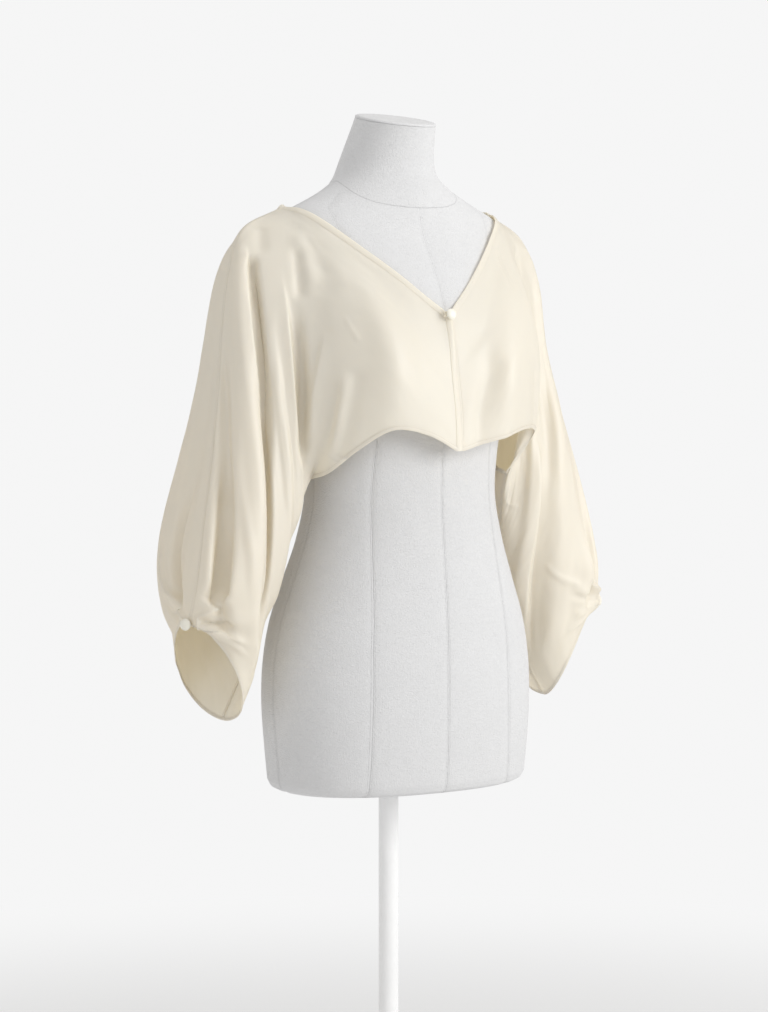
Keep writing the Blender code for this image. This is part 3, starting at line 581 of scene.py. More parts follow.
def stitches_along(name: str, path: np.ndarray, facing: np.ndarray, length: float, pitch: float,
                   width: float) -> bpy.types.Object:
    """A row of stitches: a slim eight-sided grain of thread at each step of a path.

    Args:
        name: The piece's name.
        path: Points that the row follows, on the cloth's face.
        facing: The cloth's outward direction at each.
        length: Length of a stitch.
        pitch: From one stitch to the next.
        width: Width of the thread.

    Returns:
        The row as one piece.
    """
    run = run_along(path)
    at = np.arange(pitch / 2, run[-1] - pitch / 2, pitch)
    spot, out = between(at, run, path), unit(between(at, run, facing))
    ahead = unit(np.gradient(spot, axis=0))
    aside = unit(np.cross(out, ahead))
    grain = np.array([(-0.5, 0, 0), (0, -0.5, 0), (0.5, 0, 0), (0, 0.5, 0), (0, 0, 0.5), (0, 0, -0.5)])
    local = grain * np.array([length, width, width])
    points = spot[:, None] + (ahead[:, None] * local[None, :, 0:1] + aside[:, None] * local[None, :, 1:2]
                              + out[:, None] * local[None, :, 2:3])
    sides = np.array([(0, 1, 4), (1, 2, 4), (2, 3, 4), (3, 0, 4), (1, 0, 5), (2, 1, 5), (3, 2, 5), (0, 3, 5)])
    faces = (sides[None] + 6 * np.arange(len(spot))[:, None, None]).reshape(-1, 3)
    return add_mesh(name, points, faces.tolist())


# ---- Finishes ----


class Tree:
    """Adds nodes to a node tree and joins them."""

    def __init__(self, tree: bpy.types.NodeTree) -> None:
        """Works on the given tree."""
        self.tree = tree

    def add(self, kind: str, inputs: dict | None = None, **settings) -> bpy.types.Node:
        """Adds a node.

        Args:
            kind: The node's type.
            inputs: Input names or numbers, each with a value or another node's output.
            **settings: Attributes of the node.

        Returns:
            The node.
        """
        node = self.tree.nodes.new(kind)
        for name, value in settings.items():
            setattr(node, name, value)
        self.feed(node, inputs or {})
        return node

    def feed(self, node: bpy.types.Node, inputs: dict) -> None:
        """Gives a node's inputs their values, or joins them to the sockets that are given for them."""
        for name, value in inputs.items():
            if isinstance(value, bpy.types.NodeSocket):
                self.tree.links.new(value, node.inputs[name])
            else:
                node.inputs[name].default_value = value

    def place(self, kind: str) -> bpy.types.NodeSocket:
        """Places on a piece: "UV" for its pattern, or "Object" for its metres."""
        return self.add("ShaderNodeTexCoord").outputs[kind]

    def bump(self, height: bpy.types.NodeSocket, strength: float, distance: float,
             under: bpy.types.NodeSocket | None = None) -> bpy.types.NodeSocket:
        """The normal of a surface in relief, on top of another relief where one is given."""
        inputs = {"Height": height, "Strength": strength, "Distance": distance}
        return self.add("ShaderNodeBump", inputs | ({"Normal": under} if under else {})).outputs[0]

    def calc(self, operation: str, first, second=0.0, third=0.0) -> bpy.types.NodeSocket:
        """The output of a Math node.

        Args:
            operation: Its operation.
            first: Its first value or socket.
            second: Its second value or socket.
            third: Its third value or socket.

        Returns:
            The result's socket.
        """
        return self.add("ShaderNodeMath", {0: first, 1: second, 2: third}, operation=operation).outputs[0]

    def noise(self, vector: bpy.types.NodeSocket, scale: tuple[float, float, float], detail: float = 3.0,
              roughness: float = 0.5) -> bpy.types.NodeSocket:
        """Noise over a stretched vector, from 0 to 1.

        Args:
            vector: Places in metres.
            scale: Grains in a metre along each axis.
            detail: Finer layers.
            roughness: Their strength.

        Returns:
            The noise's socket.
        """
        mapped = self.add("ShaderNodeMapping", {"Vector": vector, "Scale": scale}).outputs[0]
        return self.add("ShaderNodeTexNoise", {"Vector": mapped, "Scale": 1.0, "Detail": detail,
                                               "Roughness": roughness}).outputs["Fac"]

    def mix(self, share, first: tuple, second: tuple) -> bpy.types.NodeSocket:
        """A colour between two colours.

        Args:
            share: The socket that says how much of the second there is.
            first: The colour at 0.
            second: The colour at 1.

        Returns:
            The colour's socket.
        """
        ends = [colour if isinstance(colour, bpy.types.NodeSocket) else (*colour, 1.0) for colour in (first, second)]
        return self.add("ShaderNodeMix", {0: share, 6: ends[0], 7: ends[1]}, data_type="RGBA").outputs[2]


def thread_group() -> bpy.types.NodeTree:
    """The shared thread pattern: crossed stretched noises for warp and weft, with slubs in both.

    Returns:
        The node group, with inputs Vector, Warp, Weft and Slub and the output Height.
    """
    group = bpy.data.node_groups.get("thread_pattern")
    if group:
        return group
    group = bpy.data.node_groups.new("thread_pattern", "ShaderNodeTree")
    group.interface.new_socket("Vector", in_out="INPUT", socket_type="NodeSocketVector")
    for name, value in (("Warp", 1400.0), ("Weft", 1400.0), ("Slub", 0.3)):
        group.interface.new_socket(name, in_out="INPUT", socket_type="NodeSocketFloat").default_value = value
    group.interface.new_socket("Height", in_out="OUTPUT", socket_type="NodeSocketFloat")
    tree = Tree(group)
    given = tree.add("NodeGroupInput").outputs
    long_share = 0.11  # a thread's grains are this much longer than wide
    heights = []
    for across, first in (("Warp", True), ("Weft", False)):
        fine = given[across]
        slow = tree.calc("MULTIPLY", fine, long_share)
        scale = tree.add("ShaderNodeCombineXYZ", {0: fine if first else slow, 1: slow if first else fine, 2: fine})
        mapped = tree.add("ShaderNodeVectorMath", {0: given["Vector"], 1: scale.outputs[0]}, operation="MULTIPLY")
        heights.append(tree.add("ShaderNodeTexNoise", {"Vector": mapped.outputs[0], "Scale": 1.0, "Detail": 1.5})
                       .outputs["Fac"])
    woven = tree.calc("ADD", heights[0], heights[1])
    slub_at = tree.add("ShaderNodeVectorMath", {0: given["Vector"], 1: (38.0, 620.0, 620.0)}, operation="MULTIPLY")
    slub = tree.add("ShaderNodeTexNoise", {"Vector": slub_at.outputs[0], "Scale": 1.0, "Detail": 0.0}).outputs["Fac"]
    strong = tree.calc("MULTIPLY", tree.calc("SMOOTH_MAX", tree.calc("SUBTRACT", slub, 0.62), 0.0, 0.02), given["Slub"])
    height = tree.calc("MULTIPLY_ADD", strong, 6.0, tree.calc("MULTIPLY", woven, 0.5))
    tree.add("NodeGroupOutput", {"Height": height})
    return group


def new_material(name: str) -> tuple[bpy.types.Material, Tree, bpy.types.Node]:
    """A material with its tree and its Principled shader."""
    material = bpy.data.materials.new(name)
    material.use_nodes = True
    return material, Tree(material.node_tree), material.node_tree.nodes["Principled BSDF"]


@dataclass(frozen=True)
class Satin:
    """Cream silk satin. Its pattern follows the cloth's own two directions."""

    name: str = "silk_satin"
    light: tuple[float, float, float] = (0.925, 0.925, 0.90)
    deep: tuple[float, float, float] = (0.89, 0.885, 0.835)
    through: tuple[float, float, float] = (0.98, 0.90, 0.74)
    translucence: float = 0.46
    roughness: tuple[float, float] = (0.42, 0.52)
    sheen: float = 0.25
    weave: float = 1700.0
    crumple: float = 0.35

    def material(self) -> bpy.types.Material:
        """The satin as a material."""
        material, tree, shader = new_material(self.name)
        place, solid = tree.place("UV"), tree.place("Object")
        threads = tree.add("ShaderNodeGroup", {"Vector": place, "Warp": self.weave, "Weft": self.weave * 0.55,
                                               "Slub": 0.25}, node_tree=thread_group())
        cloudy = tree.noise(solid, (9, 9, 7), 4, 0.55)
        streak = tree.noise(place, (60, 900, 1), 2, 0.6)
        tone = tree.calc("MULTIPLY_ADD", streak, 0.35, tree.calc("MULTIPLY", cloudy, 0.65))
        rough = tree.calc("MULTIPLY_ADD", tree.calc("MULTIPLY_ADD", streak, 0.5, tree.calc("MULTIPLY", cloudy, 0.5)),
                          self.roughness[1] - self.roughness[0], self.roughness[0])
        soft = tree.bump(tree.noise(solid, (34, 34, 22), 4, 0.5), self.crumple, 0.9 * MM)
        fine = tree.bump(threads.outputs["Height"], 0.30, 0.07 * MM, soft)
        tree.feed(shader, {"Base Color": tree.mix(tone, self.deep, self.light), "Roughness": rough, "Normal": fine,
                           "Sheen Weight": self.sheen, "Sheen Roughness": 0.35,
                           "Sheen Tint": (1.0, 0.97, 0.90, 1.0), "Specular IOR Level": 0.8})
        lit_through = tree.add("ShaderNodeBsdfTranslucent", {"Color": (*self.through, 1.0), "Normal": fine})
        mixed = tree.add("ShaderNodeMixShader", {0: self.translucence, 1: shader.outputs[0], 2: lit_through.outputs[0]})
        tree.feed(material.node_tree.nodes["Material Output"], {"Surface": mixed.outputs[0]})
        return material


@dataclass(frozen=True)
class Linen:
    """Pale linen stretched over the dress form, with its seams as fine lines.

    The U of the pattern counts the seams round the form, and its V is the height in metres. The attribute
    "neck_line" is the height above the seam at the neck's foot.
    """

    light: tuple[float, float, float] = (0.67, 0.67, 0.675)
    deep: tuple[float, float, float] = (0.58, 0.58, 0.585)
    roughness: tuple[float, float] = (0.78, 0.93)
    seam_width: float = 0.9 * MM
    stitch_from_seam: float = 2.2 * MM
    panel_width: float = 105 * MM

    def material(self) -> bpy.types.Material:
        """The linen as a material."""
        material, tree, shader = new_material("linen_cover")
        solid = tree.place("Object")
        turned = tree.add("ShaderNodeVectorRotate", {"Vector": solid, "Angle": math.radians(90)},
                          rotation_type="X_AXIS").outputs[0]
        threads = tree.add("ShaderNodeGroup", {"Vector": turned, "Warp": 900.0, "Weft": 1000.0, "Slub": 0.1},
                           node_tree=thread_group())
        felt = tree.noise(solid, (420, 420, 420), 3, 0.65)
        cloudy = tree.noise(solid, (26, 26, 20), 4, 0.6)
        tone = tree.calc("MULTIPLY_ADD", felt, 0.55, tree.calc("MULTIPLY", cloudy, 0.45))
        line = self.seam_lines(tree)
        ground = tree.mix(tone, self.deep, self.light)
        shade = tuple(0.80 * value for value in self.deep)
        rough = tree.calc("MULTIPLY_ADD", felt, self.roughness[1] - self.roughness[0], self.roughness[0])
        curled = tree.add("ShaderNodeVectorMath", {0: solid, 1: (260.0, 260.0, 420.0)}, operation="MULTIPLY").outputs[0]
        curls = tree.add("ShaderNodeTexNoise", {"Vector": curled, "Scale": 1.0, "Detail": 2.0, "Roughness": 0.6,
                                                "Distortion": 1.6}).outputs["Fac"]
        relief = tree.calc("MULTIPLY_ADD", curls, 1.6, tree.calc("MULTIPLY_ADD", felt, 0.4, threads.outputs["Height"]))
        seams = tree.bump(tree.calc("SUBTRACT", 1.0, line), 0.6, 0.8 * MM, tree.bump(relief, 0.9, 0.55 * MM))
        tree.feed(shader, {"Base Color": tree.mix(tree.calc("MULTIPLY", line, 0.5), ground, shade),
                           "Roughness": rough, "Normal": seams, "Sheen Weight": 0.35, "Sheen Roughness": 0.6,
                           "Specular IOR Level": 0.25})
        return material

    def seam_lines(self, tree: Tree) -> bpy.types.NodeSocket:
        """1 on a seam or its two stitch lines and 0 away from them.

        The distance to the nearest upright seam is the distance of U from a whole number, times the width
        of a panel.
        """
        pattern = tree.add("ShaderNodeSeparateXYZ", {0: tree.place("UV")}).outputs
        off = tree.calc("SUBTRACT", pattern[0], tree.calc("ROUND", pattern[0]))
        away = tree.calc("MULTIPLY", tree.calc("ABSOLUTE", off), self.panel_width)
        above_neck = tree.add("ShaderNodeAttribute", attribute_name="neck_line").outputs["Fac"]
        neck = tree.calc("ABSOLUTE", above_neck)
        lines = []
        for distance, width in ((away, self.seam_width), (neck, self.seam_width * 0.9),
                                (tree.calc("ABSOLUTE", tree.calc("SUBTRACT", away, self.stitch_from_seam)),
                                 self.seam_width * 0.45)):
            lines.append(tree.calc("MAXIMUM", tree.calc("SUBTRACT", 1.0, tree.calc("DIVIDE", distance, width)), 0.0))
        upright = tree.calc("MAXIMUM", lines[0], tree.calc("MULTIPLY", lines[2], 0.6))
        below = tree.calc("LESS_THAN", above_neck, 0.0)
        # The upright seam lines fade with height, from full strength at 1.0 m to 0.45 of it at 1.35 m.
        seam_fade_above = tree.add("ShaderNodeMapRange", {"Value": pattern[1], "From Min": 1.0, "From Max": 1.35, "To Min": 1.0,
                                               "To Max": 0.45}).outputs[0]
        return tree.calc("MAXIMUM", tree.calc("MULTIPLY", tree.calc("MULTIPLY", upright, below), seam_fade_above), lines[1])


@dataclass(frozen=True)
class PaintedSteel:
    """White powder-coated steel of the stand."""

    colour: tuple[float, float, float] = (0.86, 0.86, 0.86)

    def material(self) -> bpy.types.Material:
        """The paint as a material."""
        material, tree, shader = new_material("painted_steel")
        solid = tree.place("Object")
        peel = tree.noise(solid, (700, 700, 700), 2, 0.5)
        dust = tree.noise(solid, (30, 30, 30), 4, 0.6)
        dull = tuple(0.93 * value for value in self.colour)
        tree.feed(shader, {"Base Color": tree.mix(dust, dull, self.colour),
                           "Roughness": tree.calc("MULTIPLY_ADD", dust, 0.14, 0.30),
                           "Normal": tree.bump(peel, 0.15, 0.1 * MM), "Coat Weight": 0.2})
        return material


@dataclass(frozen=True)
class Thread:
    """Silk sewing thread, a little deeper than the cloth."""

    colour: tuple[float, float, float] = (0.50, 0.44, 0.33)

    def material(self) -> bpy.types.Material:
        """The thread as a material."""
        material, tree, shader = new_material("sewing_thread")
        ply = tree.noise(tree.place("Object"), (2500, 2500, 2500), 1, 0.5)
        shade = tuple(0.85 * value for value in self.colour)
        tree.feed(shader, {"Base Color": tree.mix(ply, shade, self.colour),
                           "Roughness": tree.calc("MULTIPLY_ADD", ply, 0.2, 0.4), "Sheen Weight": 0.3})
        return material


# ---- The dress form ----


@dataclass
class DressForm:
    """The limbless form: a linen-covered torso and neck with a covered disc on the neck's cut."""

    bust: tuple[float, float, float, float, float] = (80, 1232, 12, 42, 52)
    bust_start: float = 3.0
    neck_from: float = 1440 * MM
    neck_tilt: float = math.radians(12)
    cap_thickness: float = 3 * MM
    cap_overlap: float = 0.2 * MM
    cap_sides: int = 96
    touch_gap: float = 0.3 * MM
    panel_width: float = Linen.panel_width
    rows: int = 210
    columns: int = 256
    seam_dip: float = 0.7 * MM
    seam_dip_width: float = 5 * MM
    princess: tuple[tuple[float, float], ...] = ((686, 101), (860, 97), (1000, 88), (1100, 83), (1232, 87),
                                                 (1330, 102), (1396, 112), (1440, 60), (1507, 40))
    probe: float = 0.5 * MM
    neck_seam: tuple[float, float, float] = (1398, 1432, 1424)  # height at the front, the sides and the back
    neck_seam_width: float = 2.5 * MM
    neck_seam_fade: float = 12 * MM  # over which the upright seams start below it

    def ring_at(self, z: np.ndarray) -> tuple[np.ndarray, ...]:
        """Half width, middle, half depth and squareness of the form at heights z."""
        heights = np.array([ring.z for ring in TORSO_RINGS]) * MM
        rings = through([ring[1:] for ring in TORSO_RINGS], np.interp(z, heights, np.arange(len(heights))))
        half_width, front, back, power = np.moveaxis(rings, -1, 0)
        return half_width * MM, (front + back) / 2 * MM, (back - front) / 2 * MM, power

    def bust_rise(self, x: np.ndarray, z: np.ndarray) -> np.ndarray:
        """How far the front stands further out: a bell over x on each side of the middle, times one over z."""
        beside, height, rise, wide, tall = (value * MM for value in self.bust)
        return rise * np.exp(-(((np.abs(x) - beside) / wide) ** 2) - ((z - height) / tall) ** 2)

    def level(self, points: np.ndarray) -> np.ndarray:
        """1 on the form's surface, less inside it and more outside."""
        x, y, z = np.moveaxis(points, -1, 0)
        half_width, middle, half_depth, power = self.ring_at(z)
        y = np.where(y < middle, y + self.bust_rise(x, z), y)
        return (np.abs(x / half_width) ** power + np.abs((y - middle) / half_depth) ** power) ** (1 / power)

    def clear(self, points: np.ndarray, clearance: float) -> np.ndarray:
        """The points, moved out along the form's slope where they lie nearer to it than the clearance."""
        points = points.copy()
        steps = self.probe * np.eye(3)
        for _ in range(4):
            rises = [self.level(points + step) - self.level(points - step) for step in steps]
            slope = np.stack(rises, axis=-1) / (2 * self.probe)
            steep = np.linalg.norm(slope, axis=-1, keepdims=True)
            distance = (self.level(points)[..., None] - 1) / steep
            points += slope / steep * np.maximum(clearance - distance, 0)
        return points

    def seam_angles(self, z: float) -> np.ndarray:
        """Angles of the eight upright seams at one height, from the wearer's left side round by the back.

        On a ring |x/a|^p + |y/b|^p = 1 the tangent of a seam's angle is (r^-p - 1)^(1/p), where r is its x
        as a share of the half width.
        """
        half_width, _, _, power = (float(value) for value in self.ring_at(np.array(z)))
        heights, beside = np.array(self.princess).T * MM
        share = min(np.interp(z, heights, beside) / half_width, 0.9)
        lean = math.atan((share**-power - 1) ** (1 / power))
        quarter = math.pi / 2
        return np.array([0, lean, quarter, 2 * quarter - lean, 2 * quarter, 2 * quarter + lean, 3 * quarter,
                         4 * quarter - lean, 4 * quarter])

    def build(self, linen: bpy.types.Material) -> list[bpy.types.Object]:
        """Makes the torso and the cap.

        Args:
            linen: The cover's material.

        Returns:
            Both pieces.
        """
        low, high = TORSO_RINGS[0].z * MM, TORSO_RINGS[-1].z * MM
        heights = np.array([ring.z for ring in TORSO_RINGS]) * MM
        # Rows lie closer together near the rounded floor.
        z = np.concatenate([np.linspace(low, heights[2], 9)[:-1], np.linspace(heights[2], high, self.rows)])
        turn = circle(self.columns)
        zz = z[:, None] + 0 * turn
        half_width, middle, half_depth, power = self.ring_at(zz)
        cosine, sine = np.cos(turn), np.sin(turn)
        scale = (np.abs(cosine) ** power + np.abs(sine) ** power) ** (-1 / power)
        x, y = half_width * cosine * scale, half_depth * sine * scale
        y = middle + y - np.where(y < 0, self.bust_rise(x, zz), 0) * smooth_step(-sine * self.bust_start)
        tip = np.clip((zz - self.neck_from) / (high - self.neck_from), 0, 1) * math.tan(self.neck_tilt)
        points = np.stack([x, y, zz + (y - middle) * tip], axis=-1)
        count = np.stack([np.interp(turn, self.seam_angles(height), np.arange(9)) for height in z])
        away = np.abs(count - np.round(count)) * self.panel_width
        outward = normals_of(np.concatenate([points, points[:, :1]], axis=1))[:, :-1]
        outward *= np.sign(np.sum(outward * (points - points.mean(axis=1, keepdims=True)), axis=-1, keepdims=True))
        front, side, back = (value * MM for value in self.neck_seam)
        line = side + (np.where(sine < 0, front, back) - side) * np.abs(sine) ** 1.5
        below = smooth_step((line - points[..., 2]) / self.neck_seam_fade)
        dip = self.seam_dip * np.exp(-((away / self.seam_dip_width) ** 2)) * below
        dip += self.seam_dip * np.exp(-(((line - points[..., 2]) / self.neck_seam_width) ** 2))
        points = points - outward * dip[..., None]

        rows = len(z)
        wide = np.concatenate([count, np.full((rows, 1), 8.0)], axis=1)
        uv = np.stack([wide, np.repeat(z[:, None], self.columns + 1, axis=1)], axis=-1)
        quads = grid_faces(rows, self.columns + 1)
        corner_uv = uv.reshape(-1, 2)[quads].reshape(-1, 2)
        end_uv = np.concatenate([np.full((self.columns, 2), (0.5, height)) for height in (low, high)])
        torso = add_mesh("torso_linen", points, tube_faces(rows, self.columns),
                         corner_uv=np.concatenate([corner_uv, end_uv]))
        return [self.cover(torso, points[..., 2] - line, linen, "torso_form", 60), self.build_cap(linen)]

    def cover(self, thing: bpy.types.Object, above_neck: np.ndarray, linen: bpy.types.Material, replaced: str,
              crisp: float) -> bpy.types.Object:
        """Covers a piece of the form with linen.

        Args:
            thing: The piece.
            above_neck: Height of each point above the seam at the neck's foot.
            linen: The cover's material.
            replaced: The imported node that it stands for.
            crisp: Edges steeper than this many degrees stay sharp.

        Returns:
            The piece.
        """
        attribute = thing.data.attributes.new("neck_line", "FLOAT", "POINT")
        attribute.data.foreach_set("value", above_neck.astype(np.float32).ravel())
        turn_outwards(thing.data)
        return finish_piece(thing, linen, [replaced], crisp)

    def build_cap(self, linen: bpy.types.Material) -> bpy.types.Object:
        """The covered disc: a dome of rings whose height falls off with the eighth power near its rim."""
        ring = TORSO_RINGS[-1]
        reach = np.array([0.0, 0.3, 0.6, 0.8, 0.88, 0.93, 0.965, 0.988, 1.0, 1.0, 0.998])
        level = np.array([1.15, 1.14, 1.11, 1.07, 1.03, 0.97, 0.86, 0.66, 0.35, 0.04, 0.0]) * self.cap_thickness
        turn = circle(self.cap_sides)
        wide = ring.half_width * MM + self.cap_overlap
        deep = (ring.back - ring.front) / 2 * MM / math.cos(self.neck_tilt) + self.cap_overlap
        x = reach[1:, None] * wide * np.cos(turn)
        y = reach[1:, None] * deep * np.sin(turn)
        z = level[1:, None] + 0 * turn + self.touch_gap
        flat = np.concatenate([[[0.0, 0.0, level[0] + self.touch_gap]], np.stack([x, y, z], axis=-1).reshape(-1, 3)])
        cosine, sine = math.cos(self.neck_tilt), math.sin(self.neck_tilt)
        middle = (ring.front + ring.back) / 2 * MM
        points = np.stack([flat[:, 0], middle + flat[:, 1] * cosine - flat[:, 2] * sine,
                           ring.z * MM + flat[:, 1] * sine + flat[:, 2] * cosine], axis=-1)
        sides = len(turn)
        faces = (grid_faces(len(reach) - 1, sides, ring_columns=True) + 1).tolist()
        faces += [[0, a, b] for a, b, _ in fan(1, sides, 0)]
        last = 1 + (len(reach) - 2) * sides
        faces.append(list(range(last, last + sides))[::-1])
        cap = add_mesh("neck_disc", points, faces, uv=np.full((len(points), 2), 0.5))
        return self.cover(cap, np.ones(len(points)), linen, "neck_cap", 70)


@dataclass
class Stand:
    """The round pole and base disc: profiles of radius over height, turned about the upright axis."""

    base_radius: float = 170 * MM
    base_height: float = 9 * MM
    edge: float = 3 * MM
    pole_radius: float = 12.5 * MM
    pole_bevel: float = 0.6 * MM
    gap: float = 0.3 * MM
    form_floor: float = 686 * MM
    sides: int = 128

    def turned(self, name: str, profile: Sequence[tuple[float, float]], paint: bpy.types.Material,
               replaced: str) -> bpy.types.Object:
        """A solid turned about the upright axis.

        Args:
            name: The piece's name.
            profile: Radius and height from the middle of its underside to the middle of its top.
            paint: Its material.
            replaced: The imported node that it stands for.

        Returns:
            The piece.
        """
        radius, height = np.array(profile[1:-1]).T
        turn = circle(self.sides)
        x, y = radius[:, None] * np.cos(turn), radius[:, None] * np.sin(turn)
        rings = np.stack([x, y, height[:, None] + 0 * turn], axis=-1).reshape(-1, 3)
        points = np.concatenate([rings, [[0, 0, profile[0][1]], [0, 0, profile[-1][1]]]])
        faces = grid_faces(len(radius), self.sides, ring_columns=True).tolist()
        faces += fan(0, self.sides, len(rings))
        faces += fan(len(rings) - self.sides, self.sides, len(rings) + 1, turned=True)
        piece = add_mesh(name, points, faces)
        turn_outwards(piece.data)
        return finish_piece(piece, paint, [replaced], 40)

    def build(self, paint: bpy.types.Material) -> list[bpy.types.Object]:
        """Makes the pole and the disc, whose rims are quarter circles.

        Args:
            paint: Their material.

        Returns:
            Both pieces.
        """
        quarter = np.linspace(0, math.pi / 2, 8)
        inner = self.base_radius - self.edge
        low_rim = [(inner + self.edge * math.sin(a), self.edge - self.edge * math.cos(a)) for a in quarter]
        top = self.base_height
        high_rim = [(inner + self.edge * math.cos(a), top - self.edge + self.edge * math.sin(a)) for a in quarter]
        disc = self.turned("stand_disc", [(0, 0), *low_rim, *high_rim, (0, top)], paint, "base_disc")
        foot, head, soft = top + self.gap, self.form_floor - self.gap, self.pole_bevel
        reach = self.pole_radius
        profile = [(0, foot), (reach - soft, foot), (reach, foot + soft), (reach, head - soft), (reach - soft, head),
                   (0, head)]
        return [disc, self.turned("stand_pole", profile, paint, "pole")]


# ---- The jacket ----


@dataclass
class Panel:
    """One panel of the jacket: its middle surface, creases and wall."""

    half: Half
    side: Side
    form: DressForm
    steps_along: int = 18
    steps_down: int = 132
    cloth: float = 0.6 * MM
    clearance: float = 1.6 * MM
    seam_dip: float = 1.0 * MM
    seam_dip_width: float = 1.5 * MM
    line_steps: int = 40
    lift_reaches: tuple[int, ...] = (7, 4)
    shoulder_reach: float = 1.1
    shoulder_steps: int = 10
    shoulder_rounds: int = 4
    sway_drift: float = 4.0 * MM
    sway_wave: float = 1.2 * MM
    sway_turns: float = 9.0
    lift_gain: float = 1.25
    crease_fade: float = 9.0  # millimetres from an edge over which creases fade in
    ripple_patches: tuple[float, float] = (53.0, 37.0)  # millimetres along and down in a radian of their swell
    cuff_roll: tuple[float, float] = (4.5 * MM, 3.0 * MM)
    cuff_roll_from: float = 13.1
    points: np.ndarray = field(init=False)
    facing: np.ndarray = field(init=False)
    uv: np.ndarray = field(init=False)

    def __post_init__(self) -> None:
        """Works the surface out."""
        near_edge = np.array([0.0, 0.0025, 0.005, 0.0085, 0.013])
        self.down = np.concatenate([near_edge, np.linspace(0, 1, self.steps_down)[3:-3], 1 - near_edge[::-1]])
        self.along = np.arange(CUFF * self.steps_along + 1) / self.steps_along
        base = self.base_points()
        facing = self.outward_normals(base)
        along, down = np.meshgrid(self.along, self.down, indexing="ij")
        seam = smooth_step(down / EDGE_FADE) * smooth_step((1 - down) / EDGE_FADE)
        hem = smooth_step(down / EDGE_FADE) * smooth_step((SHOULDER - along) / HEM_FADE)
        fade = np.maximum(seam, hem)
        points = self.rest_on_form(base + facing * (self.fold_height(along, down) * fade)[..., None])
        points = self.round_shoulder(points)
        facing = self.outward_normals(points)
        run = np.linalg.norm(np.diff(points, axis=0), axis=-1).mean(axis=1)
        along_mm = np.concatenate([[0], np.cumsum(run)])[:, None] / MM + 0 * down
        steps = np.linalg.norm(np.diff(points, axis=1), axis=-1)
        down_mm = np.concatenate([np.zeros((len(points), 1)), np.cumsum(steps, axis=1)], axis=1) / MM
        self.uv = np.stack([down_mm, along_mm], axis=-1) * MM
        close = np.minimum(down_mm, down_mm[:, -1:] - down_mm)
        body_edge = smooth_step((SHOULDER - along) / HEM_FADE)
        fade_mm = smooth_step(np.where(body_edge > 0, down_mm, close) / self.crease_fade + body_edge * (down > 0.5))
        shift = sum(self.crease_shift(points, facing, crease) for crease in CREASES[self.half, self.side])
        points = points + shift * fade_mm[..., None] + facing * (self.ripple(along_mm, down_mm) * fade_mm)[..., None]
        dip = np.exp(-((close / (self.seam_dip_width / MM)) ** 2)) * (along >= SHOULDER)
        points = points - facing * (self.seam_dip * dip)[..., None]
        if self.half is Half.FRONT:
            near_edge = smooth_step(1 - along / LAP_SECTIONS)
            points[..., 1] += self.side.value * FRONT_LAP * near_edge
            sway = self.sway_drift * smooth_step(down * 1.2)
            sway += self.sway_wave * np.sin(self.sway_turns * down) * (1 - down)
            points[..., 0] += sway * near_edge
            # The cuff's front edge rolls in under the sleeve.
            roll = smooth_step((along - self.cuff_roll_from) / (CUFF - self.cuff_roll_from))
            roll *= np.sin(math.pi * np.clip(down, 0, 1) ** 0.8) ** 1.5
            points = points + roll[..., None] * np.array([self.side.value * self.cuff_roll[0], self.cuff_roll[1], 0.0])
        self.points = self.rest_on_form(points)
        self.facing = self.outward_normals(self.points)

    def round_shoulder(self, points: np.ndarray) -> np.ndarray:
        """The points, with the bend between body and sleeve rounded: a moving average along the panel."""
        near = np.exp(-(((self.along - SHOULDER) / self.shoulder_reach) ** 2))[:, None]
        weight = (near * smooth_step(self.down / 0.06) * smooth_step((1 - self.down) / 0.25))[..., None]
        for _ in range(self.shoulder_rounds):
            points = points + (moving_mean(points, self.shoulder_steps) - points) * weight
        return points

    def rest_on_form(self, points: np.ndarray) -> np.ndarray:
        """The points, clear of the form.

        What the form pushes out lifts the cloth around it too: the push is averaged over a window of
        neighbours, and only the remainder is added point by point.
        """
        for reach in self.lift_reaches:
            push = self.form.clear(points, self.clearance) - points
            points = points + moving_mean(moving_mean(push, reach), reach, axis=1) * self.lift_gain
        return self.form.clear(points, self.clearance)

    def outward_normals(self, points: np.ndarray) -> np.ndarray:
        """Unit normals that point away from the form."""
        facing = normals_of(points)
        return facing * np.sign(np.sum(facing[:, :, 1] * self.half.value))

    def section_points(self, table: np.ndarray, down: np.ndarray) -> np.ndarray:
        """Points of sections.

        Each runs from its top to its low point, straight for a flat section and as a half circle for a
        round one, and swells by a half sine wave to the front or the back, which its bias tilts.
        """
        top, low = table[..., 0:3] * MM, table[..., 3:6] * MM
        swell, inward, bias, rounding = (table[..., k : k + 1] for k in (6, 7, 8, 9))
        share = down[..., None]
        round_share = (1 - np.cos(math.pi * share)) / 2
        arch = np.sin(math.pi * share)
        tilt = bias * (2 * share - 1)
        points = top + (low - top) * ((1 - rounding) * share + rounding * round_share)
        points = points + arch * (1 + tilt) * swell * MM * np.array([0.0, self.half.value, 0.0])
        return points - arch * (1 - tilt) * inward * MM * np.array([1.0, 0.0, 0.0])

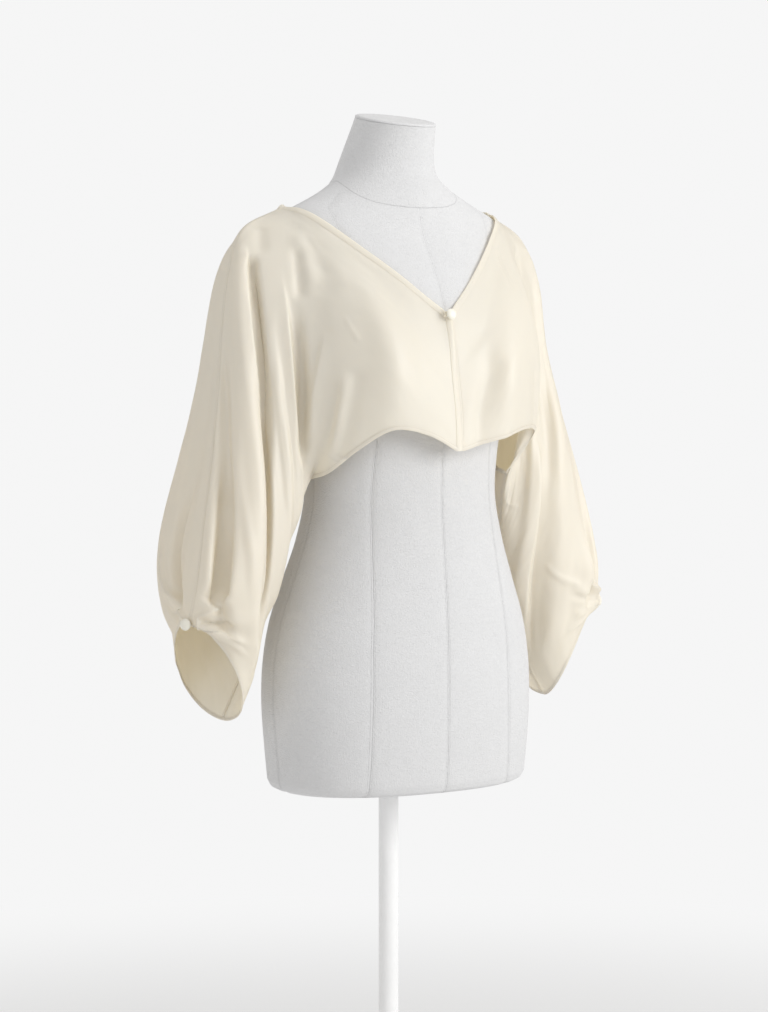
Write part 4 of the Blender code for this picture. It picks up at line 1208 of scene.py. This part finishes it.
    def base_points(self) -> np.ndarray:
        """The panel without folds: sections joined by smooth curves, split at the shoulder near its seams."""
        front = self.half is Half.FRONT
        body = [list(row) for row in (FRONT_BODY if front else BACK_BODY)]
        rows = SLEEVE
        if self.side is Side.LEFT:
            shifts = zip(SLEEVE, LEFT_SEAM_IN, LEFT_LOW_IN)
            rows = [row._replace(top_x=row.top_x - top, low_x=row.low_x - low) for row, top, low in shifts]
            if front:
                body = [[*row[:3], *low, *row[6:]] for row, low in zip(body, LEFT_HEM)]
        if front:
            swells = LEFT_SLEEVE_FRONT if self.side is Side.LEFT else [row.front for row in SLEEVE]
            sleeve = [[*row[:6], swell, row.front_in, row.front_bias, row.rounding] for row, swell in zip(rows, swells)]
        else:
            sleeve = [[*row[:6], row.back, 0, row.back_bias, row.rounding] for row in rows]
        along, down = np.meshgrid(self.along, self.down, indexing="ij")
        smooth = self.section_points(through(body + sleeve, along), down)
        seamed = np.where(
            (along < SHOULDER)[..., None],
            self.section_points(through(body + sleeve[:1], np.minimum(along, SHOULDER)), down),
            self.section_points(through(sleeve, np.maximum(along - SHOULDER, 0)), down),
        )
        inside = smooth_step(np.minimum(down, 1 - down) / SEAM_BLEND)[..., None]
        points = seamed + (smooth - seamed) * inside
        points[..., 0] *= self.side.value
        return points

    def fold_height(self, along: np.ndarray, down: np.ndarray) -> np.ndarray:
        """Sum of the large folds: each is a bell about its line, the parabola through its three places."""
        total = np.zeros(along.shape)
        for fold in FOLDS[self.half, self.side]:
            (a0, d0), (a1, d1), (a2, d2) = fold.start, fold.middle, fold.end
            line = (
                d0 * (along - a1) * (along - a2) / ((a0 - a1) * (a0 - a2))
                + d1 * (along - a0) * (along - a2) / ((a1 - a0) * (a1 - a2))
                + d2 * (along - a0) * (along - a1) / ((a2 - a0) * (a2 - a1))
            )
            part = np.clip((along - a0) / (a2 - a0), 0, 1)
            height = fold.rise[0] + (fold.rise[1] - fold.rise[0]) * part
            fade = min(FOLD_FADE, (a2 - a0) / 2)
            window = smooth_step((along - a0) / fade + 0.5) * smooth_step((a2 - along) / fade + 0.5)
            off = down - line
            width = np.where(off < 0, fold.outer, fold.inner)
            total += height * MM * window * np.exp(-((off / width) ** 2))
        return total

    def on_grid(self, values: np.ndarray, places: np.ndarray) -> np.ndarray:
        """Values of the grid at (along, down) places, straight between the four nearest points."""
        rows = np.interp(places[:, 0], self.along, np.arange(len(self.along)))
        columns = np.interp(places[:, 1], self.down, np.arange(len(self.down)))
        i = np.minimum(rows.astype(int), len(self.along) - 2)
        j = np.minimum(columns.astype(int), len(self.down) - 2)
        u, v = (rows - i)[:, None], (columns - j)[:, None]
        return (values[i, j] * (1 - u) * (1 - v) + values[i + 1, j] * u * (1 - v)
                + values[i, j + 1] * (1 - u) * v + values[i + 1, j + 1] * u * v)

    def crease_shift(self, points: np.ndarray, facing: np.ndarray, crease: Crease) -> np.ndarray:
        """How far a crease moves each point.

        The height falls off with the distance q from the crease's line as exp(-(q / width) ^ edge), and
        the crest shifts sideways by the lean with the same fall-off.

        Args:
            points: The panel's points.
            facing: Its outward directions.
            crease: The crease.

        Returns:
            A vector for each point.
        """
        share = np.linspace(0, 1, self.line_steps)
        places = through(crease.line, share * (len(crease.line) - 1))
        line = self.on_grid(points, places)
        outward = unit(self.on_grid(facing, places))
        ahead = unit(np.gradient(line, axis=0))
        inner_way = unit(np.cross(outward, ahead)) * self.turn_sign(points, facing)
        reach = 3.2 * max(crease.outer, crease.inner) * MM
        shift = np.zeros_like(points)
        inside = ((points > line.min(axis=0) - reach) & (points < line.max(axis=0) + reach)).all(axis=-1)
        near = points[inside]
        step = np.diff(line, axis=0)
        gap = near[:, None] - line[None, :-1]
        part = np.clip(np.sum(gap * step, axis=-1) / np.sum(step * step, axis=-1), 0, 1)
        distance = np.linalg.norm(gap - part[..., None] * step, axis=-1)
        nearest = np.argmin(distance, axis=1)
        rank = np.arange(len(near))
        at = (nearest + part[rank, nearest]) / (self.line_steps - 1)
        aside = np.sum((near - line[nearest]) * inner_way[nearest], axis=-1)
        width = np.where(aside < 0, crease.outer, crease.inner) * MM
        bell = np.exp(-((distance[rank, nearest] / width) ** crease.edge))
        start, end = (max(value, 1e-3) for value in crease.fades)
        bell *= smooth_step(at / start) * smooth_step((1 - at) / end) if crease.fades[1] else smooth_step(at / start)
        height = np.interp(at, np.linspace(0, 1, len(crease.rise)), crease.rise) * MM
        shift[inside] = (facing[inside] * (height * bell)[:, None]
                         + inner_way[nearest] * (crease.lean * MM * bell)[:, None])
        return shift

    def turn_sign(self, points: np.ndarray, facing: np.ndarray) -> float:
        """1 or -1, so that turning "along" about the outward direction gives "down"."""
        i, j = len(self.along) // 2, len(self.down) // 2
        turned = np.cross(facing[i, j], points[i + 1, j] - points[i, j])
        return float(np.sign(np.dot(turned, points[i, j + 1] - points[i, j])))

    def ripple(self, along_mm: np.ndarray, down_mm: np.ndarray) -> np.ndarray:
        """Sum of faint plane waves over the cloth, each swelling and fading by a slower one."""
        total = np.zeros(along_mm.shape)
        own = 0.7 * self.half.value + 1.3 * self.side.value
        calm = 0.3 + 0.3 * smooth_step((self.along[:, None] - SHOULDER) / 3)
        far_along, far_down = along_mm / self.ripple_patches[0], down_mm / self.ripple_patches[1]
        for wave in RIPPLES:
            turn = 2 * math.pi * (along_mm / wave.along + down_mm / wave.across) + wave.phase + own
            slow = 0.6 + 0.4 * np.sin(far_along + wave.phase * 2 + own) * np.sin(far_down + wave.phase)
            total += wave.height * MM * np.sin(turn) * slow
        return total * calm

    @property
    def name(self) -> str:
        """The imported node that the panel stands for."""
        return f"{self.half.name.lower()}_{self.side.name.lower()}"

    def edge_frame(self, edge: np.ndarray, inner: np.ndarray, facing: np.ndarray) -> np.ndarray:
        """Directions off the cloth at an edge: from its inner neighbours to it, square to the edge."""
        ahead = unit(np.gradient(edge, axis=0))
        off = edge - inner
        for way in (ahead, facing):
            off = off - way * np.sum(off * way, axis=-1, keepdims=True)
        return unit(off)

    def build(self, satin: bpy.types.Material) -> bpy.types.Object:
        """Makes the panel.

        Args:
            satin: Its material.

        Returns:
            The panel as a wall of the cloth's thickness.
        """
        rows, columns = self.points.shape[:2]
        thing = add_mesh(self.name + "_satin", self.points, grid_faces(rows, columns).tolist(), self.uv)
        give_wall(thing, self.cloth)
        return finish_piece(thing, satin, [self.name])


def wrap_profile(width: float, cover: float, thickness: float, slot: float, steps: int = 9) -> np.ndarray:
    """Section of a band that wraps an edge: a rounded outline whose inner side has a slot for the cloth.

    The outline is half an ellipse of power 3 over the band's width, and the slot is square.

    Args:
        width: How far the band reaches beyond the edge.
        cover: How far it covers the cloth.
        thickness: Its thickness.
        slot: Width of the slot.
        steps: Points on each leaf.

    Returns:
        Places (beyond, outward) in metres, in order round the section.
    """
    share = np.linspace(0, 1, steps)
    reach = -cover + (width + cover) * share**0.8
    crown = thickness / 2 * (1 - share**5) ** (1 / 2.5) * (0.62 + 0.38 * smooth_step(share * 3.5))
    upper = np.stack([reach, crown], axis=-1)
    lower = np.stack([reach, -crown], axis=-1)[::-1][1:]
    mouth = np.array([(-cover, -slot / 2), (0.4 * MM, -slot / 2), (0.4 * MM, slot / 2), (-cover, slot / 2)])
    return np.concatenate([upper, lower, mouth])


@dataclass
class Edges:
    """The bound edge, the turned hems and the turned cuffs, each made along the panels' own edges."""

    panels: dict[tuple[Half, Side], Panel]
    binding_width: float = 6.6 * MM
    binding_thickness: float = 2.1 * MM
    hem_width: float = 5.0 * MM
    hem_thickness: float = 1.7 * MM
    cuff_width: float = 3.6 * MM
    slot_play: float = 0.16 * MM
    hem_stitch: tuple[float, float, float] = (1.9 * MM, 2.7 * MM, 0.32 * MM)
    corner_reach: int = 3
    crisp: float = 50.0

    def stretch(self, panel: Panel, at: tuple, inner: tuple, turned: bool = False) -> tuple[np.ndarray, ...]:
        """One panel's part of a path: its points, outward directions and directions beyond the edge.

        Args:
            panel: The panel.
            at: Where the edge lies in the panel's grid.
            inner: Where its inner neighbours lie.
            turned: Whether the part runs back, from the point before its last.

        Returns:
            The three rows of vectors.
        """
        points, facing = panel.points[at], panel.facing[at]
        part = points, facing, panel.edge_frame(points, panel.points[inner], facing)
        return tuple(value[-2::-1] for value in part) if turned else part

    def joined(self, side: Side, edge: str) -> tuple[np.ndarray, np.ndarray, np.ndarray]:
        """A path over one side's front and back panels.

        Args:
            side: The wearer's side.
            edge: "neck", "hem" or "cuff".

        Returns:
            Its points, the cloth's outward directions and the directions beyond the edge.
        """
        front, back = self.panels[Half.FRONT, side], self.panels[Half.BACK, side]
        body = slice(SHOULDER * front.steps_along + 1)
        backwards = slice(None, 0, -1)
        if edge == "neck":
            parts = [self.stretch(front, (0, backwards), (1, backwards)), self.stretch(front, (body, 0), (body, 2)),
                     self.stretch(back, (body, 0), (body, 2), turned=True)]
        elif edge == "hem":
            parts = [self.stretch(front, (body, -1), (body, -3)),
                     self.stretch(back, (body, -1), (body, -3), turned=True)]
        else:
            parts = [tuple(value[:-1] for value in self.stretch(front, (-1,), (-2,))),
                     tuple(value[backwards] for value in self.stretch(back, (-1,), (-2,)))]
        path, facing, beyond = (np.concatenate([part[k] for part in parts]) for k in range(3))
        ring = edge == "cuff"
        return path, spread_along(facing, self.corner_reach, ring), spread_along(beyond, self.corner_reach, ring)

    def build(self, satin: bpy.types.Material, thread: bpy.types.Material) -> list[bpy.types.Object]:
        """Makes the bands of both sides and the stitches along them.

        Args:
            satin: The bands' material.
            thread: The stitches' material.

        Returns:
            The pieces.
        """
        made = []
        binding_section = (self.binding_width, 0.9 * MM, self.binding_thickness)
        hem_section = (0.5 * MM, self.hem_width, self.hem_thickness)
        cuff_section = (0.4 * MM, self.cuff_width, self.hem_thickness * 0.9)
        for side in Side:
            label = side.name.lower()
            slot = self.panels[Half.FRONT, side].cloth + self.slot_play
            for edge, name, section, replaced in (("neck", "bound_edge_", binding_section, ["edge_binding_" + label]),
                                                  ("hem", "hem_", hem_section, []),
                                                  ("cuff", "cuff_edge_", cuff_section, [])):
                path, facing, beyond = self.joined(side, edge)
                band = band_along(name + label, path, facing, beyond, wrap_profile(*section, slot), edge == "cuff")
                made.append(finish_piece(band, satin, replaced, self.crisp))
                if edge == "hem":
                    row = path - beyond * (self.hem_width - 0.9 * MM) + facing * self.hem_thickness * 0.46
                    stitches = stitches_along("hem_stitches_" + label, row, facing, *self.hem_stitch)
                    made.append(finish_piece(stitches, thread))
        return made


@dataclass
class Fastening:
    """A covered button with the cord loop that holds it."""

    button_node: str
    loop_node: str
    on_cloth: np.ndarray
    outward: np.ndarray
    tail: np.ndarray
    radius: float
    height: float = 6.0 * MM
    back_share: float = 0.7
    cord: float = 0.9 * MM
    loop_radius: float = 3.6 * MM
    loop_tail: float = 8.5 * MM
    loop_mouth: float = math.radians(50)
    tail_spread: float = 0.6
    gap: float = 0.4 * MM
    binding: float = 2.0 * MM
    rings: int = 33
    sides: int = 64
    tucks: int = 13
    tuck_depth: float = 0.014

    def axes(self) -> tuple[np.ndarray, np.ndarray, np.ndarray]:
        """The outward direction, the tail's direction square to it, and the direction across both."""
        outward = unit(np.asarray(self.outward, float))
        across = unit(np.cross(outward, self.tail))
        return outward, np.cross(across, outward), across

    def build(self, cover: bpy.types.Material, satin: bpy.types.Material) -> list[bpy.types.Object]:
        """Makes the button, a flattened ball with tucks under its rim, and the loop.

        Args:
            cover: The button's material.
            satin: The loop's material.

        Returns:
            Both pieces.
        """
        outward, tail, across = self.axes()
        lift = self.binding / 2 + self.gap + self.cord
        dome = self.height / 2
        back = dome * self.back_share
        centre = np.asarray(self.on_cloth) + outward * (lift + self.cord + self.gap + back)
        tilt = np.linspace(0, math.pi, self.rings)[1:-1, None]
        turn = circle(self.sides)
        rise = np.cos(tilt) + 0 * turn
        out = np.sin(tilt) ** 0.86
        uneven = np.cos(self.tucks * turn + 0.6 * np.sin(3 * turn))
        tucks = 1 + self.tuck_depth * uneven * smooth_step((0.35 - rise) / 0.9)
        reach = self.radius * out * tucks
        level = np.where(rise > 0, dome * np.abs(rise) ** 1.25, -back * np.abs(rise))
        rings = (centre + (tail * (reach * np.cos(turn))[..., None]) + across * (reach * np.sin(turn))[..., None]
                 + outward * level[..., None])
        count = len(tilt) * len(turn)
        points = np.concatenate([rings.reshape(-1, 3), [centre + outward * dome, centre - outward * back]])
        faces = grid_faces(len(tilt), len(turn), ring_columns=True).tolist()
        faces += fan(0, len(turn), count)
        faces += fan(count - len(turn), len(turn), count + 1, turned=True)
        local = np.stack([reach * np.cos(turn), reach * np.sin(turn)], axis=-1).reshape(-1, 2)
        button = add_mesh(self.button_node + "_covered", points, faces, np.concatenate([local, [[0, 0], [0, 0]]]))
        turn_outwards(button.data)
        finish_piece(button, cover, [self.button_node])

        angle = np.linspace(self.loop_mouth, 2 * math.pi - self.loop_mouth, 40)
        spread = self.loop_radius * self.tail_spread
        ring = np.stack([self.loop_radius * np.cos(angle), self.loop_radius * np.sin(angle)], axis=-1)
        share = np.linspace(0, 1, 12)[:, None]
        first = np.array([self.loop_tail, spread]) * (1 - share) + ring[0] * share
        last_part = ring[-1] * (1 - share) + np.array([self.loop_tail, -spread]) * share
        route = np.concatenate([first[:-1], ring, last_part[1:]])
        path = np.asarray(self.on_cloth) + outward * lift + tail * route[:, 0:1] + across * route[:, 1:2]
        loop = tube_along(self.loop_node + "_cord", path, self.cord, 14, 0.05)
        finish_piece(loop, satin, [self.loop_node])
        return [button, loop]


@dataclass
class Seams:
    """The stitch lines beside the overarm seams, and the allowances inside the underarm seams."""

    panels: dict[tuple[Half, Side], Panel]
    stitch: float = 2.0 * MM
    thread: float = 0.3 * MM
    pitch: float = 2.9 * MM
    beside: float = 2.4 * MM
    allowance: float = 6.0 * MM
    allowance_thickness: float = 0.5 * MM
    allowance_lift: float = 0.9 * MM
    allowance_puff: float = 0.5 * MM

    def beside_seam(self, panel: Panel, distance: float, low: bool) -> tuple[np.ndarray, np.ndarray]:
        """A line on a panel at a distance from its overarm or underarm seam."""
        first = SHOULDER * panel.steps_along
        across = panel.uv[first:, :, 0]
        if low:
            across = across[:, -1:] - across
        order = slice(None, None, -1) if low else slice(None)
        points, facing = (np.array([between(distance, *pair) for pair in zip(across[:, order], grid[first:, order])])
                          for grid in (panel.points, panel.facing))
        return points, unit(facing)

    def build(self, satin: bpy.types.Material, thread: bpy.types.Material) -> list[bpy.types.Object]:
        """Makes the stitch rows and the allowances.

        Args:
            satin: The allowances' material.
            thread: The stitches' material.

        Returns:
            The pieces.
        """
        made = []
        for side in Side:
            label = side.name.lower()
            for half in Half:
                panel = self.panels[half, side]
                row, facing = self.beside_seam(panel, self.beside, False)
                row = row + facing * panel.cloth / 2
                name = f"overarm_stitches_{half.name.lower()}_{label}"
                stitches = stitches_along(name, row[2:-2], facing[2:-2], self.stitch, self.pitch, self.thread)
                made.append(finish_piece(stitches, thread))
            panel = self.panels[Half.BACK, side]
            edge, facing = self.beside_seam(panel, 0.0, True)
            inner, _ = self.beside_seam(panel, self.allowance, True)
            share = np.linspace(0, 1, 5)[None, :, None]
            lift = facing[:, None] * (self.allowance_lift + self.allowance_puff * np.sin(share * math.pi))
            strip = (edge[:, None] * (1 - share) + inner[:, None] * share - lift)[:-1]
            lengths, widths = np.arange(len(strip)) * 4 * MM, share.ravel() * self.allowance
            uv = np.stack(np.meshgrid(lengths, widths, indexing="ij"), axis=-1)
            thing = add_mesh("underarm_allowance_" + label, strip, grid_faces(*strip.shape[:2]).tolist(), uv)
            give_wall(thing, self.allowance_thickness)
            made.append(finish_piece(thing, satin))
        return made


@dataclass
class Jacket:
    """The bolero: four panels, their edges and seams, and three fastenings."""

    form: DressForm
    front_button: float = 6.6 * MM
    cuff_button: float = 7.0 * MM
    front_button_on: tuple[float, float, float] = (-2 * MM, -139.5 * MM, 1266 * MM)
    cuff_button_off: tuple[float, float, float] = (0.6 * MM, 0.1 * MM, 0.4 * MM)
    rests_on: tuple[str, ...] = ("torso_linen",)
    trims_of_front: tuple[str, ...] = ("bound_edge_", "hem_", "hem_stitches_", "cuff_edge_", "overarm_stitches_front_")
    trims_of_back: tuple[str, ...] = ("overarm_stitches_back_", "underarm_allowance_")

    def build(self) -> list[bpy.types.Object]:
        """Makes the whole jacket.

        Returns:
            Its pieces.
        """
        satin = Satin().material()
        cover = Satin("button_satin", (0.82, 0.80, 0.72), (0.76, 0.73, 0.63), roughness=(0.40, 0.52), translucence=0.0,
                      crumple=0.1).material()
        thread = Thread().material()
        panels = {(half, side): Panel(half, side, self.form) for half in Half for side in Side}
        cut = [panel.build(satin) for panel in panels.values()]
        made = cut + Edges(panels).build(satin, thread) + Seams(panels).build(satin, thread)
        for thing, panel in zip(cut, panels.values()):
            self.declare(thing, panel)
        return made + self.fastenings(cover, satin)

    def declare(self, thing: bpy.types.Object, panel: Panel) -> None:
        """Says how a panel was cut: the rectangle that it fits in, and its area without the waste."""
        area = sum(polygon.area for polygon in thing.data.polygons)
        flat = (panel.uv[..., 0].max(), panel.uv[..., 1].max())
        trims = self.trims_of_front if panel.half is Half.FRONT else self.trims_of_back
        log.info("%s: flat %.3f x %.3f m, area %.4f", thing.name, *flat, area)
        list(self.rests_on)
        [trim + panel.side.name.lower() for trim in trims]

    def fastenings(self, cover: bpy.types.Material, satin: bpy.types.Material) -> list[bpy.types.Object]:
        """Makes the button and loop at the neck and at each cuff."""
        made = Fastening("front_button", "front_loop", np.array(self.front_button_on), np.array((0, -1, 0.2)),
                         np.array((-1, 0, 0.1)), self.front_button).build(cover, satin)
        for side in Side:
            label = side.name.lower()
            mirror = np.array([side.value, 1, 1])
            seam = np.array(SLEEVE[-1][:3]) * MM * mirror
            made += Fastening("cuff_button_" + label, "cuff_loop_" + label, seam + mirror * self.cuff_button_off,
                              mirror * (1, -0.75, 0.1), np.array((0, 1, 0.2)), self.cuff_button).build(cover, satin)
        return made


# ---- The studio ----


@dataclass
class Studio:
    """Floor, lights and the camera at the photograph's angle."""

    azimuth: float = math.radians(-32)
    distance: float = 3.2
    height: float = 1.20
    pitch: float = math.radians(3.04)
    beside: float = -5.75 * MM
    focal_pixels: float = 2560.0
    frame_height: int = 1012
    backdrop: float = 0.92
    aim: float = 1.05  # height that the lights face
    floor_radius: float = 40.0
    floor_sides: int = 96
    floor_fades: tuple[float, float] = (0.9, 2.6)

    def view_axes(self) -> tuple[np.ndarray, np.ndarray]:
        """The camera's level directions ahead and to the right."""
        ahead = np.array([-math.sin(self.azimuth), math.cos(self.azimuth), 0.0])
        return ahead, np.array([ahead[1], -ahead[0], 0.0])

    def add_camera(self) -> None:
        """Puts the camera where the photograph was taken."""
        data = bpy.data.cameras.new("camera")
        data.sensor_width = 36.0
        data.lens = self.focal_pixels * data.sensor_width / self.frame_height
        camera = bpy.data.objects.new("camera", data)
        ahead, right = self.view_axes()
        camera.location = -ahead * self.distance + right * self.beside + np.array([0, 0, self.height])
        camera.rotation_euler = (math.pi / 2 - self.pitch, 0, self.azimuth)
        bpy.context.scene.collection.objects.link(camera)
        bpy.context.scene.camera = camera

    def add_light(self, name: str, place: tuple[float, float, float], size: float, power: float,
                  colour: tuple[float, float, float]) -> None:
        """Adds a square soft light that faces the jacket.

        Args:
            name: The light's name.
            place: Metres to the camera's right, towards the camera, and up, from the stand's foot.
            size: Its edge.
            power: In watts.
            colour: Its colour.
        """
        data = bpy.data.lights.new(name, "AREA")
        data.size = size
        data.energy = power
        data.color = colour
        light = bpy.data.objects.new(name, data)
        ahead, right = self.view_axes()
        spot = right * place[0] - ahead * place[1] + np.array([0, 0, place[2]])
        light.location = spot
        towards = np.array([0, 0, self.aim]) - spot
        flat = math.hypot(towards[0], towards[1])
        light.rotation_euler = (math.atan2(flat, -towards[2]), 0, math.atan2(-towards[0], towards[1]))
        bpy.context.scene.collection.objects.link(light)

    def add_floor(self) -> None:
        """Adds a pale disc that fades into the backdrop's white with the distance from the stand."""
        turn = circle(self.floor_sides)
        points = np.stack([np.cos(turn), np.sin(turn), 0 * turn], axis=-1) * self.floor_radius
        points[:, 2] = -0.4 * MM
        floor = add_mesh("floor", points, [list(range(self.floor_sides))])
        material, tree, shader = new_material("pale_floor")
        tree.feed(shader, {"Base Color": (0.88, 0.88, 0.88, 1.0), "Roughness": 0.9})
        away = tree.add("ShaderNodeVectorMath", {0: tree.place("Object")}, operation="LENGTH").outputs["Value"]
        near, far = self.floor_fades
        share = tree.add("ShaderNodeMapRange", {"Value": away, "From Min": near, "From Max": far},
                         interpolation_type="SMOOTHSTEP").outputs[0]
        glow = tree.add("ShaderNodeEmission", {"Color": (1, 1, 1, 1), "Strength": self.backdrop})
        mixed = tree.add("ShaderNodeMixShader", {0: share, 1: shader.outputs[0], 2: glow.outputs[0]})
        tree.feed(material.node_tree.nodes["Material Output"], {"Surface": mixed.outputs[0]})
        floor.data.materials.append(material)

    def add_surroundings(self) -> None:
        """Lights the room evenly, and shows the camera an almost white backdrop."""
        world = bpy.data.worlds.new("room")
        bpy.context.scene.world = world
        world.use_nodes = True
        tree = Tree(world.node_tree)
        world.node_tree.nodes.clear()
        shown = tree.add("ShaderNodeLightPath").outputs["Is Camera Ray"]
        even = tree.add("ShaderNodeBackground", {"Color": (1.0, 0.99, 0.98, 1.0), "Strength": 0.57})
        white = tree.add("ShaderNodeBackground", {"Color": (1.0, 1.0, 1.0, 1.0), "Strength": self.backdrop})
        mixed = tree.add("ShaderNodeMixShader", {0: shown, 1: even.outputs[0], 2: white.outputs[0]})
        tree.add("ShaderNodeOutputWorld", {"Surface": mixed.outputs[0]})

    def build(self) -> None:
        """Makes the whole studio."""
        bpy.context.scene.view_settings.view_transform = "Standard"
        self.add_camera()
        self.add_floor()
        self.add_surroundings()
        self.add_light("key", (2.5, 1.3, 1.9), 1.6, 56, (1.0, 1.0, 0.99))
        self.add_light("fill", (-2.6, 2.4, 1.5), 2.2, 12, (1.0, 0.99, 0.97))
        self.add_light("top", (0.2, 0.2, 3.6), 2.0, 16, (1.0, 1.0, 1.0))


def main() -> None:
    """Builds the studio, the dress form, its stand and the jacket."""
    logging.basicConfig(level=logging.INFO, format="%(message)s")
    Studio().build()
    form = DressForm()
    form.build(Linen().material())
    Stand().build(PaintedSteel().material())
    Jacket(form).build()


if __name__ == "__main__":
    main()
